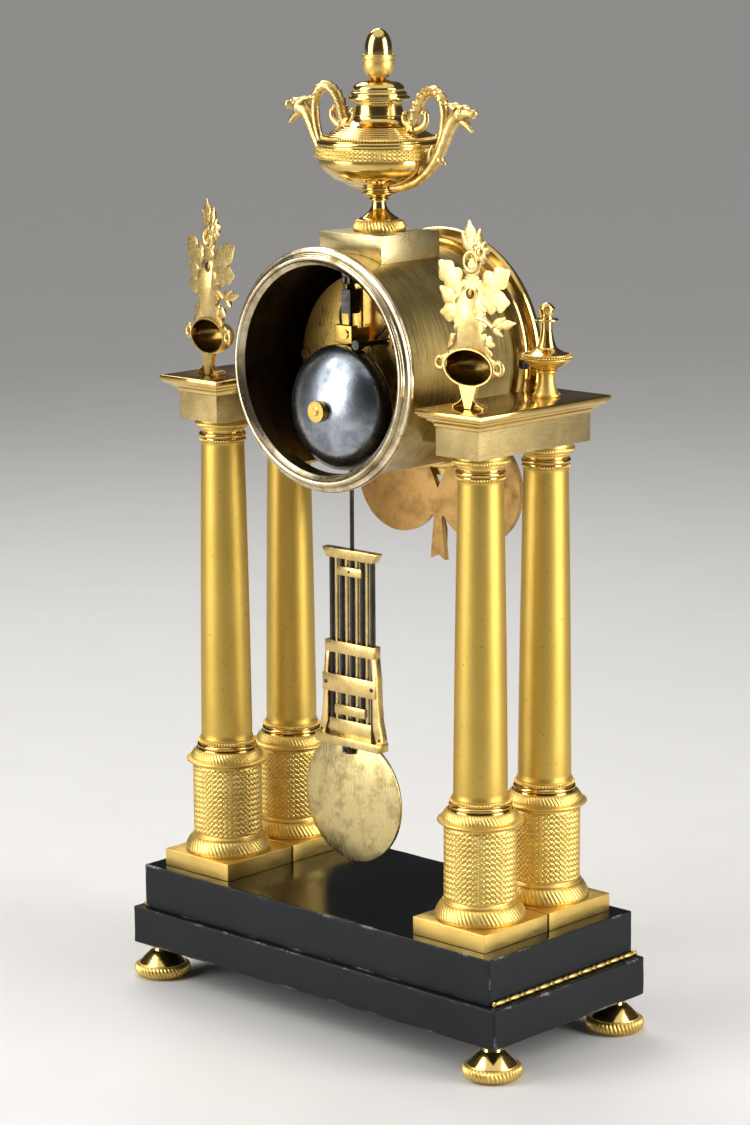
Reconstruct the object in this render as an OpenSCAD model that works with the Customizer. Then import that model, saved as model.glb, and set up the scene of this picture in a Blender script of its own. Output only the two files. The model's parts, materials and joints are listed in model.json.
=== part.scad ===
// Portico clock: a marble base, four gilt columns, a drum clock held between two entablatures,
// and an urn on top. Millimetres, Z up. The dial faces -Y and the open back of the drum faces +Y.
// Left and right are as seen from the dial side, so left is -X.

/* [Base] */
// Width of the lower marble plinth
plinth_w = 254; // [244:1:280]
// Depth of the lower marble plinth
plinth_d = 115; // [110:1:135]
// Height of the lower marble plinth
plinth_h = 19.9; // [14:0.1:28]
// Step at each side from the plinth in to the slab
slab_inset_x = 6; // [4:0.5:9]
// Step at front and back from the plinth in to the slab
slab_inset_y = 3.1; // [2.8:0.1:6]
// Height of the upper marble slab
slab_h = 23.4; // [16:0.1:32]
// Height of a turned foot
foot_h = 18.2; // [15:0.1:24]
// Largest radius of a foot
foot_r = 14.6; // [12:0.1:17]
// Radius of a foot's neck
foot_neck_r = 5.1; // [4:0.1:7]
// Distance from the plinth's edges in to a foot's axis
foot_inset = 10.5; // [8:0.1:16]
// Radius of the threaded stud on top of a foot
foot_stud_r = 2.5; // [1.5:0.1:3.5]
// Length of a foot's stud
foot_stud_l = 9; // [6:0.5:12]
// Diameter of the gilt moulding in the step
moulding_d = 2.8; // [2:0.1:3.4]
// Pitch of the reels along the moulding
reel_pitch = 11; // [8:0.5:16]

/* [Columns] */
// Side of a column's square plinth
col_plinth_w = 47; // [44:0.5:52]
// Height of a column's square plinth
col_plinth_h = 9.1; // [6:0.1:14]
// Gap between the two square plinths of a pair
col_gap = 1.4; // [0.5:0.1:6]
// Height of an engine-turned pedestal
pedestal_h = 60.2; // [50:0.1:80]
// Radius of the pedestal's drum
pedestal_r = 17.5; // [15:0.1:19]
// Largest radius of the pedestal's foot torus
pedestal_foot_r = 22; // [20:0.1:23]
// Radius of the pedestal's lip
pedestal_lip_r = 21; // [19:0.1:23]
// Height of a plain shaft
shaft_h = 157.7; // [120:0.1:200]
// Radius of a shaft at its foot
shaft_base_r = 13.4; // [12:0.1:14]
// Radius of a shaft at its top
shaft_top_r = 10.7; // [9:0.1:11.5]
// Height of a capital
capital_h = 12.1; // [10:0.1:18]
// Radius of a capital's upper ring
capital_r = 14; // [12.5:0.1:16]
// Radius of the steel rod through each column
rod_r = 2; // [1.5:0.1:3]

/* [Entablatures] */
// Width of an entablature's block
block_w = 27.3; // [24:0.1:32]
// Height of an entablature's block
block_h = 13.9; // [11:0.1:20]
// Length of the block past each column's axis
block_end = 17.25; // [15:0.05:22]
// How far the cornice stands out
cornice_out = 7.1; // [5:0.1:9]
// Height of the cornice
cornice_h = 8.7; // [7.5:0.1:12]
// Height of a front finial
finial_h = 46; // [40:0.5:56]
// Radius of a front finial's dish
finial_r = 12.7; // [10:0.1:13.5]
// Flat back of a flower vase, from the clock's centre
vase_back_y = 34; // [28:0.5:38]
// Half width of a vase's bowl
vase_bowl_r = 15.5; // [13:0.1:18]
// Height of a vase's bowl
vase_bowl_h = 18.5; // [15:0.1:22]
// Height of a vase's stem and foot
vase_stem_h = 10.8; // [9:0.1:14]
// Height of the flower spray over the bowl
spray_h = 60.5; // [50:0.5:70]
// Thickness of the cast spray
spray_t = 2.2; // [1.5:0.1:3]

/* [Drum] */
// Outer radius of the drum's tube
drum_r = 56; // [54:0.5:62]
// Wall of the drum's tube
drum_wall = 1.4; // [1:0.1:2]
// Length of the drum in front of the clock's centre
drum_front = 46; // [44:0.5:50]
// Length of the drum behind the clock's centre
drum_back = 40; // [38:0.5:46]
// Height of the drum's axis over the cornice
drum_rise = 11.4; // [8:0.1:16]
// Half width of the pendulum's slot in the drum
slot_half_w = 24; // [20:0.5:28]
// How far the back bezel stands outside the drum
back_bezel_out = 4.5; // [3:0.1:6]
// How far the back bezel reaches inside the drum
back_bezel_in = 4.1; // [3:0.1:6]
// Depth of the back bezel
back_bezel_d = 6.5; // [5:0.1:9]
// How far the front bezel stands outside the drum
front_bezel_out = 8; // [6:0.1:9]
// Thickness of the front bezel's flange
front_bezel_t = 4; // [3:0.1:5]
// Gap between the front bezel and the cornices
bezel_gap = 3.75; // [3:0.05:8]
// Depth of the hinged glazed bezel
door_d = 6.8; // [6.2:0.1:8]
// Thickness of the door's glass
glass_t = 1.4; // [1:0.1:1.8]
// Radius of the door's hinge pin
hinge_pin_r = 1; // [0.8:0.1:1.4]
// Radius of the garland's two leafy lobes
garland_r = 28.5; // [26:0.1:31]
// Thickness of the garland's casting
garland_t = 3; // [2:0.1:4]

/* [Urn] */
// Width and depth of the urn's saddle block
urn_block_w = 42.4; // [38:0.1:50]
// Height of the block over the drum's top
urn_block_rise = 9.6; // [7:0.1:14]
// Height of the urn's foot and stem
urn_foot_h = 21.5; // [18:0.1:26]
// Radius of the urn's foot
urn_foot_r = 12.9; // [11:0.1:16]
// Height of the urn's body
urn_body_h = 42.6; // [38:0.1:50]
// Largest radius of the urn's body
urn_r = 31; // [28:0.1:34]
// Height of the urn's cover
urn_cover_h = 11.2; // [9:0.1:15]
// Radius of the cover's lip
urn_cover_r = 15.5; // [14.5:0.1:18]
// Height of the acorn finial
acorn_h = 23.8; // [20:0.1:30]
// Radius of the acorn
acorn_r = 7.6; // [6.6:0.1:9]
// Thickness of a handle's casting
handle_t = 7; // [5:0.1:9]
// Reach of a handle's head from the urn's axis
handle_reach = 63.4; // [58:0.1:68]

/* [Movement] */
// Radius of the movement's plates
plate_r = 45; // [44.5:0.1:47]
// Thickness of a plate
plate_t = 2; // [1.6:0.1:2.6]
// Room between the plates
plate_gap = 36; // [36:0.5:40]
// Rear face of the back plate, from the clock's centre
back_plate_y = 9; // [8:0.1:10]
// Sideways place of the barrels
barrel_u = 21.2; // [21.1:0.1:21.6]
// Drop of the barrels under the centre
barrel_drop = 10; // [9:0.1:11]
// Running clearance of pivots, as a radius
pivot_play = 0.05; // [0.03:0.01:0.08]
// Distance of the anchor's arbor over the centre
anchor_w = 40; // [39.6:0.1:40.6]
// Distance of the escape wheel's arbor over the centre
escape_w = 24.5; // [24.2:0.1:24.8]
// Radius of the enamel dial
dial_r = 53.6; // [52:0.1:53.9]
// Thickness of the dial
dial_t = 1.6; // [1.2:0.1:2.2]

/* [Bell and pendulum] */
// Outer radius of the bell
bell_r = 31.5; // [28:0.1:33]
// Wall of the bell
bell_wall = 1.6; // [1.2:0.1:2.2]
// Place of the bell's rim
bell_rim_y = 24.6; // [24.4:0.1:27]
// Depth of the bell
bell_depth = 18.4; // [16:0.1:20]
// Place of the pendulum's plane
pendulum_y = 21; // [20.8:0.1:21.4]
// Radius of the pendulum's rod
pendulum_rod_r = 1.1; // [0.8:0.05:1.2]
// Length from the swing's axis to the gridiron's top
rod_drop = 132.6; // [125:0.1:140]
// Height of the gridiron from its top bar to its sill
gridiron_h = 101; // [95:0.5:106]
// Spacing of the nine gridiron rods
grid_pitch = 3.5; // [3.2:0.1:3.8]
// Radius of a gridiron rod
grid_rod_r = 1.1; // [0.8:0.05:1.3]
// Radius of the bob
bob_r = 33; // [30:0.1:35]
// Thickness of the bob at its middle
bob_t = 9; // [6:0.1:11]
// Time shown by the hands, minutes after ten
minutes_shown = 10; // [0:1:59]

/* [Hidden] */
$fn = 72;
fit_gap = 0.1;
rod_play = 0.3;
gilt = [0.86, 0.67, 0.28];
matt_gilt = [0.80, 0.62, 0.22];
brass = [0.78, 0.62, 0.33];
pale_brass = [0.83, 0.71, 0.46];
marble = [0.09, 0.10, 0.12];
steel = [0.42, 0.43, 0.46];
enamel = [0.93, 0.92, 0.88];

// Heights, from the floor up
plinth_top = foot_h + plinth_h;
slab_top = plinth_top + slab_h;
col_plinth_top = slab_top + col_plinth_h;
pedestal_top = col_plinth_top + pedestal_h;
shaft_top = pedestal_top + shaft_h;
block_bottom = shaft_top + capital_h;
block_top = block_bottom + block_h;
cornice_top = block_top + cornice_h;
axis_z = cornice_top + drum_rise;
drum_in = drum_r - drum_wall;
urn_block_top = axis_z + drum_r + urn_block_rise;
urn_foot_top = urn_block_top + urn_foot_h;
urn_body_top = urn_foot_top + urn_body_h;
urn_cover_top = urn_body_top + urn_cover_h;
urn_neck_r = 12.2;

// Places in plan
slab_w = plinth_w - 2 * slab_inset_x;
slab_d = plinth_d - 2 * slab_inset_y;
foot_dx = plinth_w / 2 - foot_inset;
foot_dy = plinth_d / 2 - foot_inset;
col_dy = (col_plinth_w + col_gap) / 2;
col_dx = drum_r + front_bezel_out + bezel_gap + cornice_out + block_w / 2;
block_l = 2 * (col_dy + block_end);
block_inner = col_dx - block_w / 2;
COLUMNS = [for (sx = [-1, 1], sy = [-1, 1]) [sx * col_dx, sy * col_dy]];

// Tie rods: a nut in a recess under the plinth, a thread up into the block
nut_r = 5.5;
nut_h = 4;
nut_recess = 6;
rod_seat = 9;
mount_stud_r = 1.5;
mount_stud_l = 5;
vase_foot_r = 9;
vase_stud_y = vase_back_y - 3.5;

// Drum and its bezels along Y
flange_front = -drum_front - front_bezel_t;
flange_r = drum_r + front_bezel_out;
flange_in = dial_r - 3;
collar_t = 2.4;
collar_l = 8;
collar_r = drum_r + collar_t;
door_gap = 0.3;
door_back = flange_front - door_gap;
door_front = door_back - door_d;
door_r = flange_r - 1.5;
door_in = flange_in - 0.5;
glass_r = door_in + 2;
glass_lip = 1.5;
hinge_r = hinge_pin_r + 1.2;
hinge_x = door_r + hinge_r + 0.4;
hinge_y = flange_front - hinge_r - door_gap;
knuckle_h = 4.4;
knuckle_gap = 0.3;
screw_y = -drum_front + 4;
bracket_half_l = 18;
bracket_margin = 1;
slot_front = 24;
slot_back = 8;

// Movement planes along Y
back_front = back_plate_y - plate_t;
front_back = back_front - plate_gap;
front_front = front_back - plate_t;
dial_back = -drum_front + dial_t;
arbor_r = 1;
pivot_r = 0.7;
fly_arbor_r = 0.75;
end_shake = 0.3;

// Gear train: teeth and modules
pressure = 28;
addendum = 0.75;
dedendum = 1;
tooth_play = 0.09;
great_n = 72;
great_m = 0.56;
second_pinion_n = 12;
second_n = 60;
second_m = 0.54;
centre_pinion_n = 10;
centre_n = 72;
centre_m = 0.45;
third_pinion_n = 8;
third_n = 80;
third_m = 0.36;
escape_pinion_n = 8;
escape_n = 40;
escape_r = 11;
pallet_clear = 1.2;
cannon_n = 12;
minute_n = 36;
cannon_m = 0.6;
minute_pinion_n = 10;
hour_n = 40;
strike_n = 72;
strike_m = 0.32;
pin_pinion_n = 8;
pin_n = 64;
pin_m = 0.26;
fly_pinion_n = 8;

// Centre distances
barrel_second_d = (great_n + second_pinion_n) * great_m / 2;
second_centre_d = (second_n + centre_pinion_n) * second_m / 2;
centre_third_d = (centre_n + third_pinion_n) * centre_m / 2;
third_escape_d = (third_n + escape_pinion_n) * third_m / 2;
motion_d = (cannon_n + minute_n) * cannon_m / 2;
hour_m = 2 * motion_d / (minute_pinion_n + hour_n);
strike_pin_d = (strike_n + pin_pinion_n) * strike_m / 2;
pin_fly_d = (pin_n + fly_pinion_n) * pin_m / 2;

// Third corner of a triangle over the side from a to b, to the left of a to b
function corner(a, b, ra, rb) =
    let (d = norm(b - a), e = (b - a) / d, s = (ra * ra - rb * rb + d * d) / (2 * d))
    a + e * s + [-e[1], e[0]] * sqrt(ra * ra - s * s);
function toward(a, angle, d) = a + d * [cos(angle), sin(angle)];
function bearing(a, b) = atan2(b[1] - a[1], b[0] - a[0]);

// Arbor places, sideways and up from the drum's axis, seen from the dial side
P_CENTRE = [0, 0];
P_GOING = [barrel_u, -barrel_drop];
P_STRIKE = [-barrel_u, -barrel_drop];
P_SECOND = corner(P_CENTRE, P_GOING, second_centre_d, barrel_second_d);
P_ESCAPE = [0, escape_w];
P_THIRD = corner(P_CENTRE, P_ESCAPE, centre_third_d, third_escape_d);
P_ANCHOR = [0, anchor_w];
count_angle = 115;
pin_angle = 71;
fly_angle = 35;
P_COUNT = toward(P_STRIKE, count_angle, barrel_second_d);
P_PIN = toward(P_COUNT, pin_angle, strike_pin_d);
P_FLY = toward(P_PIN, fly_angle, pin_fly_d);
P_MINUTE = [0, motion_d];
pillar_low = [18, -37];
pillar_high = [42, 1.5];
PILLARS = [for (sx = [-1, 1], p = [pillar_low, pillar_high]) [sx * p[0], p[1]]];
pillar_r = 2.6;
pillar_stud_r = 1.6;
dial_foot_r = 1.3;
dial_foot_c = 38;
DIAL_FEET = [for (a = [60, 120, 270]) toward(P_CENTRE, a, dial_foot_c)];

// Layers of the train, counted forward from the back plate's inner face
wheel_t = 1.4;
third_layer = 2.2;
centre_layer = 5.2;
second_layer = 9.2;
great_layer = 13;
great_t = 2;
escape_layer = 20.4;
pinion_over = 0.7;
barrel_l = 19;
barrel_drum_r = great_n * great_m / 2 - 1.4;
barrel_wall = 1.2;
winding_r = 2.6;
ratchet_r = 8;
ratchet_n = 20;
square_w = 3.4;
pin_circle_r = 6.2;
strike_pin_r = 0.4;
centre_arbor_r = 1.5;
count_arbor_r = 1.2;
count_y = back_plate_y + 3.6;
count_r = 13;
ARBORS = [P_SECOND, P_THIRD, P_ESCAPE, P_PIN, P_FLY];

// Motion work and hands
cannon_layer = front_front - 3.4;
hour_layer = cannon_layer - 2.4;
cannon_end = -drum_front - 6;
cannon_r = 2.1;
hour_pipe_r = 2.6;
hand_t = 0.8;
hour_hand_y = -drum_front - 2.4;
minute_hand_y = hour_hand_y - 2;
minute_hand_l = 40;
hour_hand_l = 27;
minute_angle = 90 - 6 * minutes_shown;
hour_angle = 90 - 300 - minutes_shown / 2;

// Bell, hammer and pendulum
bell_clear = 3.1;
bell_w = -(drum_in - bell_r - bell_clear);
bell_top_y = bell_rim_y + bell_depth;
bell_skirt = 3;
bell_post_u = 14;
bell_post_r = 2;
bell_nut_r = 5.2;
bell_nut_t = 3.6;
bell_stud_r = 1.6;
bell_screw_drop = 7;
cock_t = 3;
cock_bottom = 4;
cock_h = 6;
cock_screw_u = 10.5;
cock_screw_w = 33;
cock_screw_r = 1;
chop_half = 3;
chop_d = 7;
spring_t = 0.3;
spring_w = 5;
spring_dip = 5;
swing_z = axis_z + anchor_w;
crutch_w = 15.5;
hammer_angle = 20;
hammer_head_r = 2.4;
hammer_gap = 0.5;
hammer_c = bell_r + hammer_head_r + hammer_gap;
P_HAMMER = [-38, 17];
P_HEAD = [-hammer_c * sin(hammer_angle), bell_w + hammer_c * cos(hammer_angle)];
hammer_tail_l = 5.3;
hammer_stud_r = 1.2;
hammer_lift = 14;
tail_hole_r = 2.4;
tail_mid = bearing(P_HAMMER, P_PIN) + hammer_lift / 2;
grid_top = swing_z - rod_drop;
grid_sill = grid_top - gridiron_h;
grid_half = 4 * grid_pitch;
bob_z = grid_sill - 27.5;
bob_edge = 1.8;
bar_d = 5;
top_bar_h = 5;
sill_h = 6;

// Profiles of turned and moulded pieces: each row is [height, lower radius, upper radius, swell]
curve_steps = 6;
function row_points(row, z) =
    let (steps = row[3] == 0 ? 1 : curve_steps)
    [for (i = [0:steps]) let (t = i / steps)
        [row[1] + (row[2] - row[1]) * t + 4 * row[3] * t * (1 - t), z + row[0] * t]];
function row_starts(rows) =
    [for (i = 0, z = 0; i < len(rows); z = z + rows[i][0], i = i + 1) z];
function rows_height(rows, i = 0) = i == len(rows) ? 0 : rows[i][0] + rows_height(rows, i + 1);
function without_repeats(points) =
    [for (i = [0:len(points) - 1]) if (i == 0 || norm(points[i] - points[i - 1]) > 0.001) points[i]];
function moulded(rows) =
    let (starts = row_starts(rows))
    without_repeats([for (i = [0:len(rows) - 1]) for (p = row_points(rows[i], starts[i])) p]);
function to_axis(points) =
    concat([[0, points[0][1]]], points, [[0, points[len(points) - 1][1]]]);
function ellipse_points(a, b, from, to, steps) =
    [for (i = [0:steps]) let (t = from + (to - from) * i / steps) [a * cos(t), b * sin(t)]];

module turned(rows) {
    rotate_extrude() polygon(to_axis(moulded(rows)));
}

// Revolves [radius, y] points about an axis along Y at the drum's height
module turned_y(points, u = 0, w = 0) {
    translate([u, 0, axis_z + w]) rotate([-90, 0, 0]) rotate_extrude() polygon(points);
}

module rod_y(p, y0, y1, r) {
    translate([p[0], y0, axis_z + p[1]]) rotate([-90, 0, 0]) cylinder(r = r, h = y1 - y0);
}

// Extrudes a flat shape, drawn in X and Z about the place p, between two planes along Y
module flat_y(p, y0, y1) {
    translate([p[0], y1, axis_z + p[1]]) rotate([90, 0, 0]) linear_extrude(y1 - y0) children();
}

module box(x0, x1, y0, y1, z0, z1) {
    translate([x0, y0, z0]) cube([x1 - x0, y1 - y0, z1 - z0]);
}

// Involute gears
function involute(a) = tan(a) * 180 / PI - a;
function gear_points(n, m) =
    let (rp = n * m / 2, rb = rp * cos(pressure), ra = rp + addendum * m, rr = rp - dedendum * m,
        base_half = 90 / n - tooth_play / rp * 90 / PI + involute(pressure),
        radii = rb > rr ? [rr, rb, (rb + ra) / 2, ra] : [rr, (rr + ra) / 2, ra],
        halves = [for (r = radii) r > rb ? base_half - involute(acos(rb / r)) : base_half],
        last = len(radii) - 1)
    [for (i = [0:n - 1], j = [0:2 * last + 1]) let (k = j > last ? 2 * last + 1 - j : j,
        a = 360 * i / n + (j > last ? 1 : -1) * halves[k]) radii[k] * [cos(a), sin(a)]];

module gear(n, m, turn) {
    rotate(turn) polygon(gear_points(n, m));
}

// A wheel with four spokes, its tooth space or tooth set by turn
module crossed_wheel(n, m, turn, hub_r) {
    rim_in = n * m / 2 - 2.2;
    spoke_w = 1.6;
    difference() {
        gear(n, m, turn);
        circle(r = rim_in);
    }
    circle(r = hub_r);
    for (a = [45, 135]) rotate(a) square([2 * rim_in + 0.6, spoke_w], center = true);
}

// An arbor between the plates, with a pivot in each plate
module arbor(p, r = arbor_r) {
    rod_y(p, front_back + end_shake, back_front - end_shake, r);
    rod_y(p, front_front, back_plate_y, pivot_r);
}

module layer(p, depth, t) {
    flat_y(p, back_front - depth - t, back_front - depth) children();
}

module pinion(p, depth, t, n, m, turn) {
    layer(p, depth - pinion_over, t + 2 * pinion_over) gear(n, m, turn);
}

// Base
module lower_plinth() {
    color(marble) difference() {
        box(-plinth_w / 2, plinth_w / 2, -plinth_d / 2, plinth_d / 2, foot_h, plinth_top);
        for (p = COLUMNS) translate([p[0], p[1], foot_h - 1]) {
            cylinder(r = rod_r + rod_play, h = plinth_h + 2);
            cylinder(r = nut_r + rod_play, h = nut_recess + 1);
        }
        for (sx = [-1, 1], sy = [-1, 1]) translate([sx * foot_dx, sy * foot_dy, foot_h - 1])
            cylinder(r = foot_stud_r + fit_gap, h = foot_stud_l + 1.5);
    }
}

module upper_slab() {
    color(marble) difference() {
        box(-slab_w / 2, slab_w / 2, -slab_d / 2, slab_d / 2, plinth_top, slab_top);
        for (p = COLUMNS) translate([p[0], p[1], plinth_top - 1])
            cylinder(r = rod_r + rod_play, h = slab_h + 2);
    }
}

// A bead-and-reel rod of the given length along X
module reel_rod(length) {
    bead = 1.6;
    reels = max(1, round(length / reel_pitch));
    pitch = length / reels;
    full = moulding_d / 2;
    reel_rows = [for (i = [0:reels - 1], row = [
        [bead, full * 0.6, full * 0.6, full * 0.4],
        [pitch - 2 * bead, full * 0.62, full * 0.62, full * 0.3],
        [bead, full * 0.6, full * 0.6, full * 0.4]]) row];
    rotate([0, 90, 0]) turned(reel_rows);
}

module base_moulding() {
    full = moulding_d / 2;
    line_x = slab_w / 2 + full + fit_gap;
    line_y = slab_d / 2 + full + fit_gap;
    side_l = slab_d / 2 - 1 + line_y;
    color(gilt) translate([0, 0, plinth_top + full]) {
        translate([-line_x, -line_y, 0]) reel_rod(2 * line_x);
        for (sx = [-1, 1]) {
            translate([sx * line_x, -line_y, 0]) rotate(90) reel_rod(side_l);
            translate([sx * line_x, -line_y, 0]) sphere(r = full);
        }
    }
}

module feet() {
    band_r = foot_r - 0.6;
    cone_h = foot_h - 9.2 - 3.4;
    rows = [
        [3.2, foot_r - 2.6, foot_r, 0.5],
        [3.6, foot_r, band_r, 0.2],
        [2.4, band_r, band_r - 3.6, -0.3],
        [cone_h, band_r - 3.6, foot_neck_r, -0.9],
        [3.4, foot_neck_r, foot_neck_r + 0.6, -0.3]];
    color(gilt) for (sx = [-1, 1], sy = [-1, 1]) translate([sx * foot_dx, sy * foot_dy, 0]) {
        turned(rows);
        translate([0, 0, foot_h - 1]) cylinder(r = foot_stud_r, h = foot_stud_l + 1);
    }
}

// Columns
module column_plinths() {
    half = col_plinth_w / 2;
    color(gilt) for (p = COLUMNS) translate([p[0], p[1], slab_top]) difference() {
        box(-half, half, -half, half, 0, col_plinth_h);
        translate([0, 0, -1]) cylinder(r = rod_r + rod_play, h = col_plinth_h + 2);
    }
}

module bored(rows) {
    difference() {
        turned(rows);
        translate([0, 0, -1]) cylinder(r = rod_r + rod_play, h = rows_height(rows) + 2);
    }
}

module column_pedestals() {
    ring_r = shaft_base_r + 1.5;
    rows_below = [
        [0.8, pedestal_foot_r - 0.4, pedestal_foot_r, 0.1],
        [7, pedestal_foot_r, pedestal_r + 1.5, 1],
        [1.4, pedestal_r + 0.9, pedestal_r + 0.9, 0.4],
        [0.9, pedestal_r + 0.4, pedestal_r, -0.1]];
    rows_above = [
        [2.2, pedestal_r, pedestal_lip_r - 1.2, -0.7],
        [1.5, pedestal_lip_r - 0.4, pedestal_lip_r - 0.4, 0.4],
        [0.4, pedestal_lip_r - 1, pedestal_lip_r - 1.7, 0],
        [4.5, pedestal_lip_r - 1.8, ring_r + 1.6, 0.9],
        [0.6, ring_r + 0.7, ring_r + 0.5, 0],
        [2.6, ring_r - 0.2, ring_r - 0.2, 1],
        [0.5, ring_r - 0.7, ring_r - 0.7, 0],
        [1.6, ring_r - 0.6, ring_r - 0.6, 0.5]];
    drum_h = pedestal_h - rows_height(rows_below) - rows_height(rows_above);
    color(gilt) for (p = COLUMNS) translate([p[0], p[1], col_plinth_top])
        bored(concat(rows_below, [[drum_h, pedestal_r, pedestal_r, 0]], rows_above));
}

module column_shaft(index) {
    foot_rows = [[1.6, shaft_base_r + 0.5, shaft_base_r, -0.2]];
    top_rows = [[1.4, shaft_top_r, shaft_top_r + 0.4, -0.2]];
    plain_h = shaft_h - rows_height(foot_rows) - rows_height(top_rows);
    p = COLUMNS[index];
    color(matt_gilt) translate([p[0], p[1], pedestal_top])
        bored(concat(foot_rows, [[plain_h, shaft_base_r, shaft_top_r, -0.2]], top_rows));
}

module front_left_column() { column_shaft(0); }
module back_left_column() { column_shaft(1); }
module front_right_column() { column_shaft(2); }
module back_right_column() { column_shaft(3); }

module column_capitals() {
    neck_rows = [
        [1.7, shaft_top_r + 0.7, shaft_top_r + 0.7, 0.5],
        [2.8, shaft_top_r + 1.2, shaft_top_r + 1.2, 0.4],
        [1.6, shaft_top_r + 0.5, shaft_top_r + 0.5, -0.2]];
    top_rows = [[2, capital_r, capital_r, 0]];
    bell_h = capital_h - rows_height(neck_rows) - rows_height(top_rows);
    color(gilt) for (p = COLUMNS) translate([p[0], p[1], shaft_top])
        bored(concat(neck_rows, [[bell_h, shaft_top_r + 1.1, capital_r - 0.3, 0.7]], top_rows));
}

module column_tie_rods() {
    nut_z = foot_h + nut_recess - nut_h;
    color(steel) for (p = COLUMNS) translate([p[0], p[1], nut_z]) {
        cylinder(r = nut_r, h = nut_h, $fn = 6);
        cylinder(r = rod_r, h = block_bottom + rod_seat - nut_z);
    }
}

// Entablatures
module entablature(side) {
    rows = [
        [block_h, 0, 0, 0],
        [1, 1.2, 1.2, 0],
        [2.4, 1.8, cornice_out - 2.9, 0.6],
        [0.8, cornice_out - 2.4, cornice_out - 2.4, 0],
        [cornice_h - 5.7, cornice_out - 2, cornice_out - 0.5, -0.4],
        [1.5, cornice_out, cornice_out, 0]];
    outline = moulded(rows);
    high = rows_height(rows);
    module prism(half, length) {
        right = [for (p = outline) [half + p[0], p[1]]];
        left = [for (i = [len(outline) - 1:-1:0]) [-half - outline[i][0], outline[i][1]]];
        rotate([90, 0, 0]) translate([0, 0, -length / 2]) linear_extrude(length)
            polygon(concat(right, left));
    }
    color(gilt) difference() {
        translate([side * col_dx, 0, block_bottom]) intersection() {
            prism(block_w / 2, block_l + 2 * cornice_out + 2);
            rotate(90) prism(block_l / 2, block_w + 2 * cornice_out + 2);
        }
        for (sy = [-1, 1]) translate([side * col_dx, sy * col_dy, block_bottom - 1])
            cylinder(r = rod_r + rod_play, h = rod_seat + 1.5);
        for (y = [-col_dy, vase_stud_y]) translate([side * col_dx, y, cornice_top - mount_stud_l - 0.5])
            cylinder(r = mount_stud_r + fit_gap, h = mount_stud_l + 1.5);
    }
}

module left_entablature() { entablature(-1); }
module right_entablature() { entablature(1); }

module front_finials() {
    foot_rows = [
        [1.6, 6.7, 6.7, 0.2],
        [2.6, 6.2, 4.6, -0.5]];
    dish_rows = [
        [1.4, 5.6, 5.6, 0.35],
        [4.6, 5.1, finial_r - 1.1, 1],
        [2.7, finial_r - 0.3, finial_r - 0.5, 0.2],
        [3.6, finial_r - 1.5, 5.4, -1.2]];
    tip_rows = [
        [10, 5.4, 3.3, -0.4],
        [3, 3.3, 3.3, 0],
        [1.2, 5.5, 5.5, 0.3],
        [1.2, 3.2, 3, 0],
        [2.6, 3, 3.8, 0.3],
        [2.9, 3.3, 0.6, 0.6]];
    stem_h = finial_h - rows_height(foot_rows) - rows_height(dish_rows) - rows_height(tip_rows);
    rows = concat(foot_rows, [[stem_h, 4.6, 4.2, -0.2]], dish_rows, tip_rows);
    color(gilt) for (side = [-1, 1]) translate([side * col_dx, -col_dy, cornice_top]) {
        turned(rows);
        translate([0, 0, -mount_stud_l]) cylinder(r = mount_stud_r, h = mount_stud_l + 1);
    }
}

// A pointed leaf from its foot, along the given angle from +Y, made of two arcs
module leaf(length, width, angle) {
    sag = width / 2;
    arc_r = (length * length / 4 + sag * sag) / (2 * sag);
    rotate(-angle) translate([0, length / 2]) intersection() {
        translate([arc_r - sag, 0]) circle(r = arc_r);
        translate([sag - arc_r, 0]) circle(r = arc_r);
    }
}

// Flower spray, seen from behind: [across, up, leaf length, leaf width, angle]
LEAVES = [
    [2, 0.009, 22.5, 9, 32], [-2, -0.024, 32.1, 16, -4], [-4, 0.075, 15.6, 8, -50],
    [1, 0.307, 18.2, 9, 81], [2, 0.389, 19.2, 9, 62], [-3, 0.406, 23.1, 9, -85],
    [-3, 0.455, 25.7, 10, -61], [-1, 0.505, 24.5, 9, 57], [-1, 0.439, 21, 9, -3],
    [-1, 0.703, 20, 7, 3], [-1.4, 0.79, 12.6, 4.2, -26], [0.2, 0.77, 11.4, 4.2, 35],
    [-2, 0.002, 16.3, 6, -72], [2, 0.009, 13.3, 5, 77]];

module spray_outline() {
    stalk_w = 3;
    bud_r = 2.2;
    rose = [-8.2, 0.807];
    buds = [[-23, 0.29], [-29.3, 0.26], [-19.5, 0.146]];
    translate([-stalk_w / 2, -2]) square([stalk_w, spray_h * 0.8 + 2]);
    for (row = LEAVES) translate([row[0], row[1] * spray_h]) leaf(row[2], row[3], row[4]);
    for (up = [0.12, 0.3, 0.46]) translate([0, up * spray_h + 6]) circle(r = 7);
    translate([rose[0], rose[1] * spray_h]) circle(r = 5.4);
    for (bud = buds) {
        end = [bud[0], bud[1] * spray_h];
        foot = [0, 0.15 * spray_h];
        translate(end) circle(r = bud_r);
        translate(foot) rotate(atan2(end[1] - foot[1], end[0] - foot[0])) translate([0, -0.9])
            square([norm(end - foot), 1.8]);
    }
}

module half_turned(points) {
    rotate(180) rotate_extrude(angle = 180) polygon(points);
}

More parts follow.
